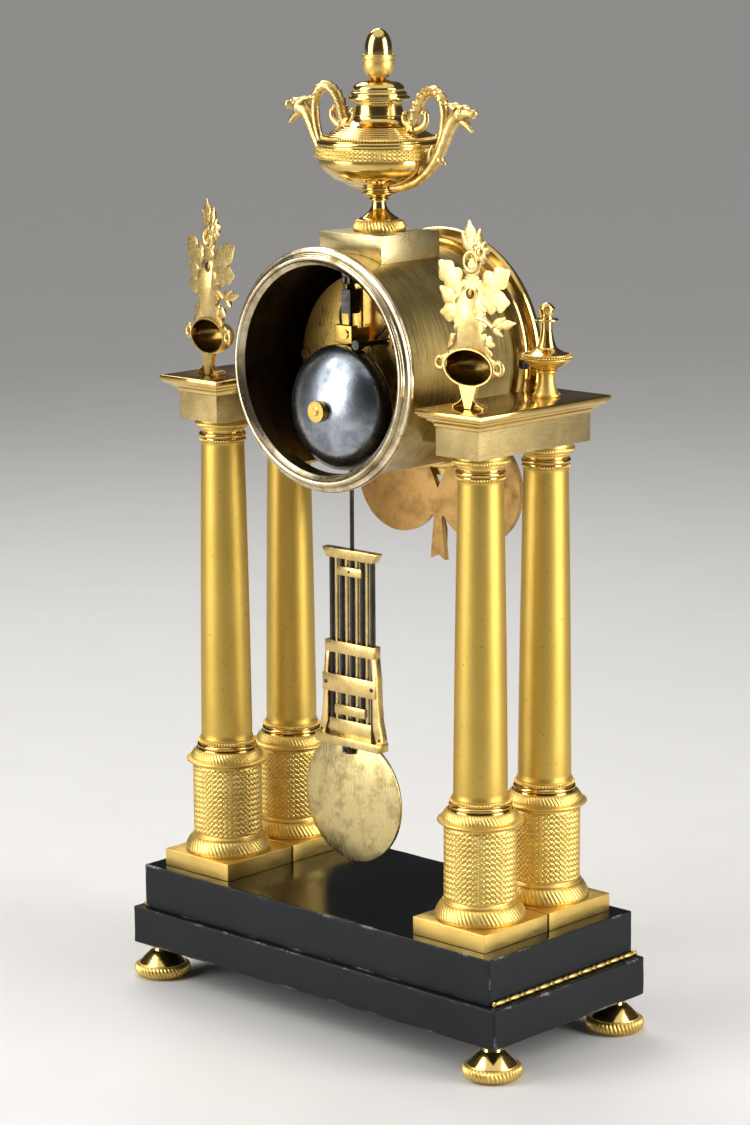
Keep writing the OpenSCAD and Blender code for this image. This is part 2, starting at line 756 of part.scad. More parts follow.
module flower_vase(side, yaw) {
    wall = 1.8;
    bowl_z = vase_stem_h + vase_bowl_h / 2;
    ring_r = 3.4;
    ring_hole = 1.9;
    rows = [
        [1.6, vase_foot_r, vase_foot_r - 0.4, 0.2],
        [2.6, vase_foot_r - 1, 3.4, -0.9],
        [vase_stem_h - 4.2 + wall, 3.4, 4.2, -0.5]];
    outer = ellipse_points(vase_bowl_r, vase_bowl_h / 2, -90, 90, 24);
    inner = ellipse_points(vase_bowl_r - wall, vase_bowl_h / 2 - wall, -90, 90, 24);
    color(gilt) translate([side * col_dx, vase_stud_y, cornice_top]) rotate(yaw)
        translate([0, vase_back_y - vase_stud_y, 0]) {
            half_turned(to_axis(moulded(rows)));
            translate([0, 0, bowl_z]) difference() {
                half_turned(outer);
                rotate_extrude() polygon(inner);
            }
            translate([0, 0, vase_stem_h + vase_bowl_h - wall]) rotate([90, 0, 0])
                linear_extrude(spray_t) spray_outline();
            for (s = [-1, 1]) translate([s * (vase_bowl_r + ring_r - 1), 0, bowl_z]) rotate([90, 0, 0])
                linear_extrude(spray_t) difference() {
                    circle(r = ring_r);
                    circle(r = ring_hole);
                }
            translate([0, vase_stud_y - vase_back_y, -mount_stud_l])
                cylinder(r = mount_stud_r, h = mount_stud_l + 1);
        }
}

module left_flower_vase() { flower_vase(-1, 0); }
module right_flower_vase() { flower_vase(1, -12); }

// Drum
module screw_hole(side, r) {
    translate([0, screw_y, axis_z]) rotate([0, side * 90, 0]) cylinder(r = r, h = flange_r);
}

module drum_case() {
    color(brass) difference() {
        turned_y([[drum_in, -drum_front], [drum_r, -drum_front], [drum_r, drum_back], [drum_in, drum_back]]);
        box(-slot_half_w, slot_half_w, -slot_front, drum_back - slot_back, axis_z - drum_r - 1, axis_z);
        for (side = [-1, 1]) screw_hole(side, mount_stud_r + fit_gap);
    }
}

module back_bezel() {
    in_r = drum_r - back_bezel_in;
    out_r = drum_r + back_bezel_out;
    lip = 1.2;
    roll = 2.4;
    roll_y = drum_back + back_bezel_d - roll;
    sleeve_l = 5;
    color(brass) turned_y(concat(
        [[in_r, drum_back - sleeve_l], [drum_in - fit_gap, drum_back - sleeve_l],
         [drum_in - fit_gap, drum_back], [out_r - 1, drum_back]],
        [for (i = [0:6]) let (a = -90 + 180 * i / 6)
            [out_r - roll + roll * cos(a), roll_y + roll * sin(a)]],
        [for (i = [1:5]) let (t = i / 5)
            [out_r - roll - (out_r - roll - in_r - lip) * t,
             drum_back + back_bezel_d - 3 * t * t + lip * t * t * t]],
        [[in_r, drum_back + back_bezel_d - 3]]));
}

module front_bezel() {
    color(gilt) difference() {
        union() {
            turned_y([
                [flange_in, flange_front], [flange_r - 1, flange_front], [flange_r, flange_front + 1],
                [flange_r, -drum_front], [collar_r, -drum_front], [collar_r, -drum_front + collar_l],
                [drum_r + fit_gap, -drum_front + collar_l], [drum_r + fit_gap, -drum_front],
                [flange_in, -drum_front]]);
            for (s = [-1, 1]) translate([hinge_x, hinge_y, axis_z + s * (knuckle_h + knuckle_gap)]) {
                cylinder(r = hinge_r, h = knuckle_h, center = true);
                box(-hinge_r, hinge_r, 0, -drum_front - hinge_y, -knuckle_h / 2, knuckle_h / 2);
                box(-2 * hinge_r - 2, hinge_r, flange_front - hinge_y, -drum_front - hinge_y,
                    -knuckle_h / 2, knuckle_h / 2);
            }
        }
        translate([hinge_x, hinge_y, axis_z])
            cylinder(r = hinge_pin_r + pivot_play, h = 4 * knuckle_h, center = true);
        for (side = [-1, 1]) screw_hole(side, mount_stud_r + fit_gap);
    }
}

// Hinged front: a moulded ring with a rebate that holds the glass
module bezel_door() {
    color(gilt) difference() {
        union() {
            turned_y([
                [door_in, door_front], [door_in + 3, door_front], [door_r - 3, door_front + 2.4],
                [door_r, door_back - 2.4], [door_r, door_back], [glass_r + fit_gap, door_back],
                [glass_r + fit_gap, door_front + glass_lip], [door_in, door_front + glass_lip]]);
            translate([hinge_x, hinge_y, axis_z]) {
                cylinder(r = hinge_r, h = knuckle_h - knuckle_gap, center = true);
                box(door_r - hinge_x - 2, 0, -hinge_r, 0, knuckle_gap / 2 - knuckle_h / 2,
                    knuckle_h / 2 - knuckle_gap / 2);
            }
        }
        translate([hinge_x, hinge_y, axis_z])
            cylinder(r = hinge_pin_r + pivot_play, h = 2 * knuckle_h, center = true);
    }
}

module door_glass() {
    front = door_front + glass_lip;
    color([0.8, 0.9, 0.92, 0.35]) rod_y(P_CENTRE, front, front + glass_t, glass_r);
}

// Two leafy lobes tied by a ribbon, hung behind the front bezel under the drum
module garland_mount() {
    lobe_u = 27;
    lobe_w = -(drum_r + 0.372 * garland_r);
    knot_r = 7.5;
    knot_w = lobe_w - 0.379 * garland_r;
    gap_top = 24;
    tail_l = 23;
    color(gilt) flat_y(P_CENTRE, -drum_front, -drum_front + garland_t) difference() {
        union() {
            for (s = [-1, 1]) translate([s * lobe_u, lobe_w]) circle(r = garland_r);
            translate([0, knot_w]) circle(r = knot_r);
            translate([0, knot_w - knot_r + 1]) polygon([[-2.5, 0], [2.5, 0], [5, -tail_l], [0, 3 - tail_l],
                [-5, -tail_l]]);
        }
        translate([0, knot_w + knot_r]) polygon([[0, 0], [gap_top / 2, gap_top], [-gap_top / 2, gap_top]]);
        circle(r = collar_r + fit_gap);
    }
}

// Saddle blocks between the drum and the entablatures
module drum_brackets() {
    z0 = block_bottom + bracket_margin;
    z1 = block_top - bracket_margin;
    inner = sqrt(drum_r * drum_r - pow(axis_z - z0, 2)) - 4;
    color(brass) for (side = [-1, 1]) mirror([side > 0 ? 0 : 1, 0, 0]) difference() {
        box(inner, block_inner, -bracket_half_l, bracket_half_l, z0, z1);
        rod_y(P_CENTRE, -bracket_half_l - 1, bracket_half_l + 1, drum_r + fit_gap);
    }
}

// A slotted screw along Y, its head's seat at y, pointing forward
module slotted_screw(p, y, head_r, shank_r, shank_l) {
    head_t = 0.7 * head_r;
    rod_y(p, y - shank_l, y, shank_r);
    difference() {
        rod_y(p, y, y + head_t, head_r);
        translate([p[0] - head_r, y + head_t / 2, axis_z + p[1] - head_r / 6])
            cube([2 * head_r, head_t, head_r / 3]);
    }
}

module screws_and_pins() {
    head_r = 2.8;
    head_t = 1.7;
    shank_from = drum_in;
    color(steel) {
        for (side = [-1, 1]) translate([0, screw_y, axis_z]) rotate([0, side * 90, 0]) difference() {
            union() {
                translate([0, 0, shank_from]) cylinder(r = mount_stud_r, h = collar_r + 0.5 - shank_from);
                translate([0, 0, collar_r]) cylinder(r = head_r, h = head_t);
            }
            translate([-head_r, -0.4, collar_r + head_t / 2]) cube([2 * head_r, 0.8, head_t]);
        }
        for (s = [-1, 1])
            slotted_screw([s * cock_screw_u, cock_screw_w], back_plate_y + cock_t, 2, cock_screw_r,
                cock_t + plate_t);
        slotted_screw([bell_post_u, bell_w - bell_screw_drop], back_plate_y + cock_t, 2, cock_screw_r,
            cock_t + plate_t);
        translate([hinge_x, hinge_y, axis_z])
            cylinder(r = hinge_pin_r, h = 3 * knuckle_h + 2 * knuckle_gap, center = true);
    }
}

// Urn
module urn_block() {
    half = urn_block_w / 2;
    color(brass) difference() {
        box(-half, half, -half, half, axis_z + drum_r / 2, urn_block_top);
        rod_y(P_CENTRE, -half - 1, half + 1, drum_r + fit_gap);
        translate([0, 0, urn_block_top - 6]) cylinder(r = mount_stud_r + fit_gap, h = 7);
    }
}

module bored_for_stud(rows) {
    difference() {
        turned(rows);
        translate([0, 0, -1]) cylinder(r = mount_stud_r + fit_gap, h = rows_height(rows) + 2);
    }
}

module urn_foot() {
    stem_r = 3.4;
    low_rows = [
        [3.4, urn_foot_r - 0.6, urn_foot_r - 1, 0.8],
        [2.2, urn_foot_r - 2.2, urn_foot_r - 3, 0.2],
        [2.6, urn_foot_r - 3, 6.2, -0.6]];
    top_rows = [
        [3.2, stem_r, 4.7, -0.4],
        [1.8, 5, 8.2, -0.4],
        [2.2, 8.5, 8.4, 0.4]];
    stem_h = urn_foot_h - rows_height(low_rows) - rows_height(top_rows);
    color(gilt) translate([0, 0, urn_block_top])
        bored_for_stud(concat(low_rows, [[stem_h, 6.2, stem_r, -0.7]], top_rows));
}

urn_low_rows = [
    [13.9, 8.4, urn_r - 1, 2],
    [7.1, urn_r - 0.7, urn_r - 0.4, 0.45],
    [2.7, urn_r - 0.5, urn_r - 0.8, 0.5],
    [1.7, urn_r - 2.7, urn_r - 2.8, 0.3],
    [6.4, urn_r - 4.4, urn_neck_r + 3, 0],
    [2.2, urn_neck_r + 2.8, urn_neck_r + 0.8, -0.4]];
urn_top_rows = [[1.3, urn_neck_r, urn_neck_r, 0.2]];
urn_neck_h = urn_body_h - rows_height(urn_low_rows) - rows_height(urn_top_rows);
urn_rows = concat(urn_low_rows, [[urn_neck_h, urn_neck_r + 0.6, urn_neck_r - 0.6, -0.3]], urn_top_rows);

module urn_body() {
    color(gilt) translate([0, 0, urn_foot_top]) bored_for_stud(urn_rows);
}

module urn_cover() {
    rows = [
        [2.2, urn_cover_r - 0.8, urn_cover_r - 0.6, 0.8],
        [2, urn_cover_r - 2, urn_cover_r - 2.6, 0.3],
        [urn_cover_h - 5.4, urn_cover_r - 2.8, 5.2, -1.4],
        [1.2, 4.4, 3.4, -0.2]];
    color(gilt) translate([0, 0, urn_body_top]) bored_for_stud(rows);
}

module acorn_finial() {
    cup_rows = [
        [2.6, 3.2, 4.8, -0.3],
        [4.6, 5, acorn_r, 0.9],
        [2.6, acorn_r, acorn_r - 0.4, 0.2]];
    nut_h = acorn_h - rows_height(cup_rows);
    nut = ellipse_points(acorn_r - 1, nut_h, 0, 90, 12);
    color(gilt) translate([0, 0, urn_cover_top]) {
        turned(cup_rows);
        translate([0, 0, rows_height(cup_rows)]) rotate_extrude() polygon(concat([[0, 0]], nut));
        translate([0, 0, urn_block_top - 5 - urn_cover_top])
            cylinder(r = mount_stud_r, h = urn_cover_top - urn_block_top + 6);
    }
}

// A flat strip along a path, its half width going from one value to another
function along(path, i) = let (d = path[min(i + 1, len(path) - 1)] - path[max(i - 1, 0)]) d / norm(d);
module strip(path, start, end) {
    last = len(path) - 1;
    half = [for (i = [0:last]) (start + (end - start) * i / last) * [-along(path, i)[1], along(path, i)[0]]];
    polygon(concat([for (i = [0:last]) path[i] + half[i]], [for (i = [last:-1:0]) path[i] - half[i]]));
}

// Animal-head handle, drawn outward from the urn's axis: a stem from under the bowl to the head, and a strap
// that loops back from the stem to the shoulder. The drawing is stretched to the reach of the head.
STEM = [[9.6, 1.2], [16, 1.9], [21, 3.4], [26, 5.9], [30, 8.6], [34, 11.9], [37, 15.2], [40, 18.9],
    [42, 22.4], [44, 25.9], [46.2, 29], [48.5, 31.7], [52, 34.7]];
STRAP = [[20, 27.3], [22.4, 30.2], [24, 33.3], [25, 36.8], [26.4, 40.3], [28.4, 43.6], [31, 45.9], [34, 47.5],
    [37, 47.9], [40.2, 46.8], [43, 44.3], [45, 41.4], [46, 38.3], [46.1, 34.4], [45.5, 30.3], [44.6, 26.2],
    [43.5, 22.3], [40, 16.8]];
HEAD = [[47.5, 30], [46.6, 38.2], [50, 40.4], [54, 40.8], [58, 39.6], [61.6, 37], [63.4, 33.8], [60, 34.4],
    [56.8, 34.8], [60.8, 32.2], [58.8, 30.4], [54, 29.6]];
OUTER_LEAF = [[38, 20.5], [41.6, 19], [44.4, 15.8], [46.3, 11.9], [42.4, 12.8], [38.8, 14.6], [36.4, 16]];
INNER_LEAF = [[31.4, 11], [30.5, 19], [31.2, 27], [34.5, 35], [36.9, 28], [37.2, 21], [36, 14]];
module urn_handle(side) {
    drawn_reach = HEAD[6][0];
    stretch = handle_reach / drawn_reach;
    function stretched(points) = [for (p = points) [p[0] * stretch, p[1]]];
    color(gilt) translate([0, 0, urn_foot_top]) mirror([side > 0 ? 0 : 1, 0, 0])
        difference() {
            rotate([90, 0, 0]) translate([0, 0, -handle_t / 2]) linear_extrude(handle_t) {
                strip(stretched(STEM), 1.8, 3.4);
                strip(stretched(STRAP), 2.7, 2.2);
                polygon(stretched(HEAD));
                polygon(stretched(OUTER_LEAF));
                polygon(stretched(INNER_LEAF));
            }
            turned([for (row = urn_rows) row + [0, fit_gap, fit_gap, 0]]);
        }
}

module left_urn_handle() { urn_handle(-1); }
module right_urn_handle() { urn_handle(1); }

// Dial and movement frame
module dial() {
    color(enamel) {
        difference() {
            rod_y(P_CENTRE, -drum_front, dial_back, dial_r);
            rod_y(P_CENTRE, -drum_front - 1, dial_back + 1, hour_pipe_r + 0.8);
            for (p = [P_GOING, P_STRIKE]) rod_y(p, -drum_front - 1, dial_back + 1, winding_r + 1);
        }
        for (p = DIAL_FEET) rod_y(p, dial_back - 0.5, front_back + 0.6, dial_foot_r);
    }
}

module front_plate() {
    color(brass) difference() {
        rod_y(P_CENTRE, front_front, front_back, plate_r);
        for (p = concat(ARBORS, [P_ANCHOR, P_COUNT]))
            rod_y(p, front_front - 1, front_back + 1, pivot_r + pivot_play);
        rod_y(P_CENTRE, front_front - 1, front_back + 1, centre_arbor_r + pivot_play);
        for (p = [P_GOING, P_STRIKE]) rod_y(p, front_front - 1, front_back + 1, winding_r + pivot_play);
        for (p = PILLARS) rod_y(p, front_front - 1, front_back + 1, pillar_stud_r);
        for (p = DIAL_FEET) rod_y(p, front_front - 1, front_back + 1, dial_foot_r + fit_gap);
    }
}

module back_plate() {
    color(brass) difference() {
        rod_y(P_CENTRE, back_front, back_plate_y, plate_r);
        for (p = concat(ARBORS, [P_CENTRE])) rod_y(p, back_front - 1, back_plate_y + 1, pivot_r + pivot_play);
        rod_y(P_ANCHOR, back_front - 1, back_plate_y + 1, arbor_r + pivot_play);
        rod_y(P_COUNT, back_front - 1, back_plate_y + 1, count_arbor_r + pivot_play);
        for (p = [P_GOING, P_STRIKE]) rod_y(p, back_front - 1, back_plate_y + 1, winding_r + pivot_play);
        for (p = PILLARS) rod_y(p, back_front - 1, back_plate_y + 1, pillar_stud_r);
        rod_y(P_HAMMER, back_front - 1, back_plate_y + 1, hammer_stud_r + pivot_play);
        rod_y(toward(P_HAMMER, tail_mid, hammer_tail_l), back_front - 1, back_plate_y + 1, tail_hole_r);
        for (s = [-1, 1])
            rod_y([s * cock_screw_u, cock_screw_w], back_front - 1, back_plate_y + 1, cock_screw_r + fit_gap);
        rod_y([bell_post_u, bell_w - bell_screw_drop], back_front - 1, back_plate_y + 1,
            cock_screw_r + fit_gap);
    }
}

module plate_pillars() {
    nut_t = 1.8;
    color(brass) for (p = PILLARS) {
        rod_y(p, front_back, back_front, pillar_r);
        rod_y(p, front_front, back_plate_y + nut_t, pillar_stud_r);
        rod_y(p, back_plate_y, back_plate_y + nut_t, pillar_r);
    }
}

// Going train
module barrel(p, pinion_p) {
    drum_back_y = back_front - great_layer - great_t;
    hub_r = winding_r + pivot_play;
    color(brass) difference() {
        union() {
            layer(p, great_layer, great_t) gear(great_n, great_m, bearing(p, pinion_p));
            rod_y(p, drum_back_y - barrel_l, drum_back_y, barrel_drum_r);
        }
        rod_y(p, drum_back_y - barrel_l + barrel_wall, drum_back_y, barrel_drum_r - barrel_wall);
        rod_y(p, drum_back_y - barrel_l - 1, back_front, hub_r);
    }
}

module going_barrel() { barrel(P_GOING, P_SECOND); }
module strike_barrel() { barrel(P_STRIKE, P_COUNT); }

module winding_arbor(p) {
    square_l = 10;
    ratchet_t = 1.6;
    square_front = hour_hand_y + 1;
    hook_r = 5;
    drum_back_y = back_front - great_layer - great_t;
    color(steel) {
        rod_y(p, square_front + square_l, back_plate_y, winding_r);
        flat_y(p, square_front, square_front + square_l) square(square_w, center = true);
        flat_y(p, front_front - end_shake - ratchet_t, front_front - end_shake) polygon(
            [for (i = [0:2 * ratchet_n - 1]) let (a = 180 * i / ratchet_n)
                (i % 2 == 0 ? ratchet_r : ratchet_r - 1.2) * [cos(a), sin(a)]]);
        rod_y(p, drum_back_y - barrel_l + barrel_wall + end_shake, drum_back_y - end_shake, hook_r);
    }
}

module going_winding_arbor() { winding_arbor(P_GOING); }
module strike_winding_arbor() { winding_arbor(P_STRIKE); }

// Mainsprings: a wound strip inside each barrel
module mainsprings() {
    turns = 7;
    strip = 0.5;
    from_r = 6;
    to_r = barrel_drum_r - barrel_wall - 1.2;
    drum_back_y = back_front - great_layer - great_t;
    steps = turns * 24;
    function spiral(off) = [for (i = [0:steps]) let (a = 360 * turns * i / steps,
        r = from_r + (to_r - from_r) * i / steps + off) r * [cos(a), sin(a)]];
    function reversed(l) = [for (i = [len(l) - 1:-1:0]) l[i]];
    color(steel) for (p = [P_GOING, P_STRIKE])
        flat_y(p, drum_back_y - barrel_l + barrel_wall + 1, drum_back_y - 1)
            polygon(concat(spiral(strip), reversed(spiral(0))));
}

module going_second_wheel() {
    color(brass) {
        arbor(P_SECOND);
        pinion(P_SECOND, great_layer, great_t, second_pinion_n, great_m,
            bearing(P_GOING, P_SECOND) + 180 + 180 / second_pinion_n);
        layer(P_SECOND, second_layer, wheel_t)
            crossed_wheel(second_n, second_m, bearing(P_SECOND, P_CENTRE), 3);
    }
}

module centre_wheel() {
    color(brass) {
        rod_y(P_CENTRE, cannon_end, back_front - end_shake, centre_arbor_r);
        rod_y(P_CENTRE, back_front - 1, back_plate_y, pivot_r);
        pinion(P_CENTRE, second_layer, wheel_t, centre_pinion_n, second_m,
            bearing(P_SECOND, P_CENTRE) + 180 + 180 / centre_pinion_n);
        layer(P_CENTRE, centre_layer, wheel_t)
            crossed_wheel(centre_n, centre_m, bearing(P_CENTRE, P_THIRD), 3);
    }
}

module third_wheel() {
    color(brass) {
        arbor(P_THIRD);
        pinion(P_THIRD, centre_layer, wheel_t, third_pinion_n, centre_m,
            bearing(P_CENTRE, P_THIRD) + 180 + 180 / third_pinion_n);
        layer(P_THIRD, third_layer, wheel_t)
            crossed_wheel(third_n, third_m, bearing(P_THIRD, P_ESCAPE), 2.4);
    }
}

module escape_wheel() {
    root_r = escape_r - 1.6;
    rim_in = root_r - 1.4;
    pitch = 360 / escape_n;
    tooth = [[root_r, 0], [escape_r, 0.52], [escape_r, 0.6], [root_r, 0.8]];
    color(brass) {
        arbor(P_ESCAPE);
        pinion(P_ESCAPE, third_layer, wheel_t, escape_pinion_n, third_m,
            bearing(P_THIRD, P_ESCAPE) + 180 + 180 / escape_pinion_n);
        layer(P_ESCAPE, escape_layer, wheel_t) {
            difference() {
                polygon([for (i = [0:escape_n - 1], q = tooth)
                    q[0] * [cos((i + q[1]) * pitch), sin((i + q[1]) * pitch)]]);
                circle(r = rim_in);
            }
            circle(r = 2.2);
            for (a = [0, 90]) rotate(a) square([2 * rim_in + 0.6, 1.4], center = true);
        }
    }
}

// Anchor between the plates, its arbor, and the crutch behind the back plate
module anchor_and_crutch() {
    drop = anchor_w - escape_w;
    reach = escape_r + pallet_clear;
    tip = [reach * sin(45), reach * cos(45) - drop];
    arm_y = back_plate_y + 4.4;
    arm_t = 1.6;
    fork_y = pendulum_y + pendulum_rod_r + 1;
    fork_half = 5.5;
    fork_h = 8;
    slot = pendulum_rod_r + 0.15;
    color(brass) difference() {
        union() {
            rod_y(P_ANCHOR, front_back + end_shake, arm_y + arm_t, arbor_r);
            rod_y(P_ANCHOR, front_front, front_back + 1, pivot_r);
            layer(P_ANCHOR, escape_layer - 0.3, wheel_t + 0.6) {
                circle(r = 2.6);
                for (s = [-1, 1]) polygon([[0, 2.4], [s * (tip[0] + 2.2), tip[1] + 3.4], [s * (tip[0] + 2.4),
                    tip[1] + 1.4], [s * tip[0], tip[1]], [s * (tip[0] - 1), tip[1] + 2], [0, -2]]);
            }
            flat_y(P_ANCHOR, arm_y, arm_y + arm_t) {
                circle(r = 2.6);
                translate([-1.5, crutch_w - anchor_w]) square([3, anchor_w - crutch_w]);
            }
            flat_y([0, crutch_w], arm_y, fork_y) square([2 * fork_half, fork_h], center = true);
        }
        translate([-slot, pendulum_y - slot, swing_z - anchor_w]) cube([2 * slot, 10, 60]);
    }
}

// A hand with a ring near its tip, drawn along +X
module hand(length, boss_r, ring_r) {
    ring_u = length * 0.68;
    circle(r = boss_r);
    polygon([[0, 1.2], [ring_u - ring_r + 0.6, 0.8], [ring_u - ring_r + 0.6, -0.8], [0, -1.2]]);
    translate([ring_u, 0]) difference() {
        circle(r = ring_r);
        circle(r = ring_r - 1.2);
    }
    polygon([[ring_u + ring_r - 0.6, 1], [length, 0], [ring_u + ring_r - 0.6, -1]]);
}

module minute_hand() {
    color(steel) difference() {
        union() {
            rod_y(P_CENTRE, minute_hand_y - hand_t, front_front - end_shake, cannon_r);
            flat_y(P_CENTRE, cannon_layer, cannon_layer + 1.6)
                gear(cannon_n, cannon_m, bearing(P_MINUTE, P_CENTRE) + 180 + 180 / cannon_n);
            flat_y(P_CENTRE, minute_hand_y - hand_t, minute_hand_y) rotate(minute_angle)
                hand(minute_hand_l, 3.2, 3.6);
        }
        rod_y(P_CENTRE, -drum_front - 20, back_front, centre_arbor_r + 0.02);
    }
}

module minute_wheel() {
    stud_r = 1.2;
    color(brass) difference() {
        union() {
            flat_y(P_MINUTE, cannon_layer + 0.2, cannon_layer + 1.4)
                crossed_wheel(minute_n, cannon_m, bearing(P_MINUTE, P_CENTRE), 3);
            flat_y(P_MINUTE, hour_layer - 0.2, cannon_layer + 0.2)
                gear(minute_pinion_n, hour_m, bearing(P_CENTRE, P_MINUTE) + 180 + 180 / minute_pinion_n);
        }
        rod_y(P_MINUTE, hour_layer - 5, front_front, stud_r + pivot_play);
    }
}

module hour_hand() {
    color(steel) difference() {
        union() {
            flat_y(P_CENTRE, hour_layer, hour_layer + 1.2)
                gear(hour_n, hour_m, bearing(P_CENTRE, P_MINUTE));
            rod_y(P_CENTRE, hour_hand_y - hand_t, hour_layer + 1.2, hour_pipe_r);
            flat_y(P_CENTRE, hour_hand_y - hand_t, hour_hand_y) rotate(hour_angle)
                hand(hour_hand_l, 4, 3.8);
        }
        rod_y(P_CENTRE, -drum_front - 20, back_front, cannon_r + pivot_play);
    }
}

// Strike train
module count_wheel() {
    notches = 12;
    color(brass) {
        rod_y(P_COUNT, front_back + end_shake, count_y + wheel_t, count_arbor_r);
        rod_y(P_COUNT, front_front, front_back + 1, pivot_r);
        pinion(P_COUNT, great_layer, great_t, second_pinion_n, great_m,
            bearing(P_STRIKE, P_COUNT) + 180 + 180 / second_pinion_n);
        layer(P_COUNT, second_layer, wheel_t)
            crossed_wheel(strike_n, strike_m, bearing(P_COUNT, P_PIN), 3);
        flat_y(P_COUNT, count_y, count_y + wheel_t) difference() {
            circle(r = count_r);
            for (i = [1:notches]) rotate(360 * i * (i + 1) / (notches * (notches + 1)))
                translate([count_r, 0]) square([3, 1.4], center = true);
            for (a = [0:60:300]) rotate(a) translate([count_r * 0.56, 0]) circle(r = 2.6);
        }
    }
}

module pin_wheel() {
    pins = 10;
    face = back_front - centre_layer;
    color(brass) {
        arbor(P_PIN);
        pinion(P_PIN, second_layer, wheel_t, pin_pinion_n, strike_m,
            bearing(P_COUNT, P_PIN) + 180 + 180 / pin_pinion_n);
        layer(P_PIN, centre_layer, wheel_t) gear(pin_n, pin_m, bearing(P_PIN, P_FLY));
        for (i = [0:pins - 1])
            rod_y(toward(P_PIN, 360 * i / pins, pin_circle_r), face - 0.2, face + 1.5, strike_pin_r);
    }
}

module fly() {
    vane_half = 6;
    vane_t = 0.6;
    color(brass) {
        arbor(P_FLY, fly_arbor_r);
        pinion(P_FLY, centre_layer, wheel_t, fly_pinion_n, pin_m,
            bearing(P_PIN, P_FLY) + 180 + 180 / fly_pinion_n);
        flat_y(P_FLY, front_back + 3, back_front - great_layer - 2) rotate(20)
            square([2 * vane_half, vane_t], center = true);
    }
}

// Hammer on a stud behind the back plate, its tail's pin reaching the pin wheel
module hammer() {
    arm_y = back_plate_y + 0.6;
    arm_t = 1.8;
    arm_w = 2.8;
    arm_l = norm(P_HEAD - P_HAMMER);
    head_front = bell_rim_y + 0.6;
    head_l = 5;
    tail_angle = bearing(P_HAMMER, P_PIN);
    tail_end = back_front - centre_layer + 0.5;
    color(steel) {
        flat_y(P_HAMMER, arm_y, arm_y + arm_t) {
            circle(r = 3);
            rotate(bearing(P_HAMMER, P_HEAD)) translate([0, -arm_w / 2]) square([arm_l, arm_w]);
            rotate(tail_angle) translate([0, -1]) square([hammer_tail_l + 0.6, 2]);
        }
        rod_y(P_HAMMER, back_front, arm_y + 1, hammer_stud_r);
        rod_y(toward(P_HAMMER, tail_angle, hammer_tail_l), tail_end, arm_y + 1, 0.6);
        rod_y(P_HEAD, arm_y, head_front + 1, 1.4);
        rod_y(P_HEAD, head_front, head_front + head_l, hammer_head_r);
    }
}

// Bell, its stand and nut
module bell() {
    dome_d = bell_depth - bell_skirt;
    outer = [for (p = ellipse_points(bell_r, dome_d, 0, 90, 18)) [p[0], bell_rim_y + bell_skirt + p[1]]];
    inner = [for (p = ellipse_points(bell_r - bell_wall, dome_d - bell_wall, 90, 0, 18))
        [p[0], bell_rim_y + bell_skirt + p[1]]];
    color(steel) difference() {
        turned_y(concat([[bell_r, bell_rim_y]], outer, inner, [[bell_r - bell_wall, bell_rim_y]]), 0, bell_w);
        rod_y([0, bell_w], bell_rim_y, bell_top_y + 1, bell_stud_r + fit_gap);
    }
}

module bell_stand() {
    bar_y = bell_rim_y + 5;
    bar_h = 4;
    foot_half = 4;
    collar_back = bell_top_y - bell_wall;
    color(brass) {
        difference() {
            flat_y([bell_post_u, bell_w], back_plate_y, back_plate_y + cock_t)
                translate([-foot_half, -bell_screw_drop - foot_half])
                    square([2 * foot_half, bell_screw_drop + 2 * foot_half]);
            rod_y([bell_post_u, bell_w - bell_screw_drop], back_plate_y - 1, back_plate_y + cock_t + 1,
                cock_screw_r + fit_gap);
        }
        rod_y([bell_post_u, bell_w], back_plate_y + 1, bar_y + bar_h, bell_post_r);
        flat_y([0, bell_w], bar_y, bar_y + bar_h) translate([-3, -2]) square([bell_post_u + 3, 4]);
        rod_y([0, bell_w], bar_y, collar_back - 0.3, bell_stud_r + 1.4);
        rod_y([0, bell_w], bar_y, bell_top_y + bell_nut_t + 0.8, bell_stud_r);
        rod_y([0, bell_w], bell_top_y + fit_gap, bell_top_y + bell_nut_t, bell_nut_r);
    }
}

// Suspension: a cock on the back plate, a chop, and the spring that bends at the swing's axis
module suspension() {
    leg_in = 7;
    leg_out = 14;
    leg_drop = 12;
    bridge_z = swing_z + cock_bottom;
    front_y = back_plate_y;
    color(brass) {
        difference() {
            union() {
                box(-leg_out, leg_out, front_y, front_y + cock_t, bridge_z, bridge_z + cock_h);
                for (s = [-1, 1]) translate([s * (leg_in + leg_out) / 2, 0, 0])
                    box(-(leg_out - leg_in) / 2, (leg_out - leg_in) / 2, front_y, front_y + cock_t,
                        swing_z - leg_drop, bridge_z + cock_h);
            }
            for (s = [-1, 1]) rod_y([s * cock_screw_u, cock_screw_w], front_y - 1, front_y + cock_t + 1,
                cock_screw_r + fit_gap);
        }
        box(-chop_half, chop_half, front_y, pendulum_y + chop_d / 2, bridge_z, bridge_z + cock_h);
        box(-chop_half, chop_half, pendulum_y - chop_d / 2, pendulum_y + chop_d / 2,
            swing_z + 1, bridge_z + 1);
        box(-spring_t / 2, spring_t / 2, pendulum_y - spring_w / 2, pendulum_y + spring_w / 2,
            swing_z - spring_dip, bridge_z);
    }
}

// Pendulum
module pendulum_rod() {
    lower_top = swing_z - 1.6;
    lower_h = 12;
    slot_half = spring_t / 2 + 0.6;
    color(steel) {
        difference() {
            box(-chop_half, chop_half, pendulum_y - chop_d / 2, pendulum_y + chop_d / 2,
                lower_top - lower_h, lower_top);
            box(-slot_half, slot_half, pendulum_y - spring_w / 2 - 0.4, pendulum_y + spring_w / 2 + 0.4,
                swing_z - spring_dip - 0.6, lower_top + 1);
        }
        translate([0, pendulum_y, grid_top])
            cylinder(r = pendulum_rod_r, h = lower_top - lower_h - grid_top + 1);
    }
}

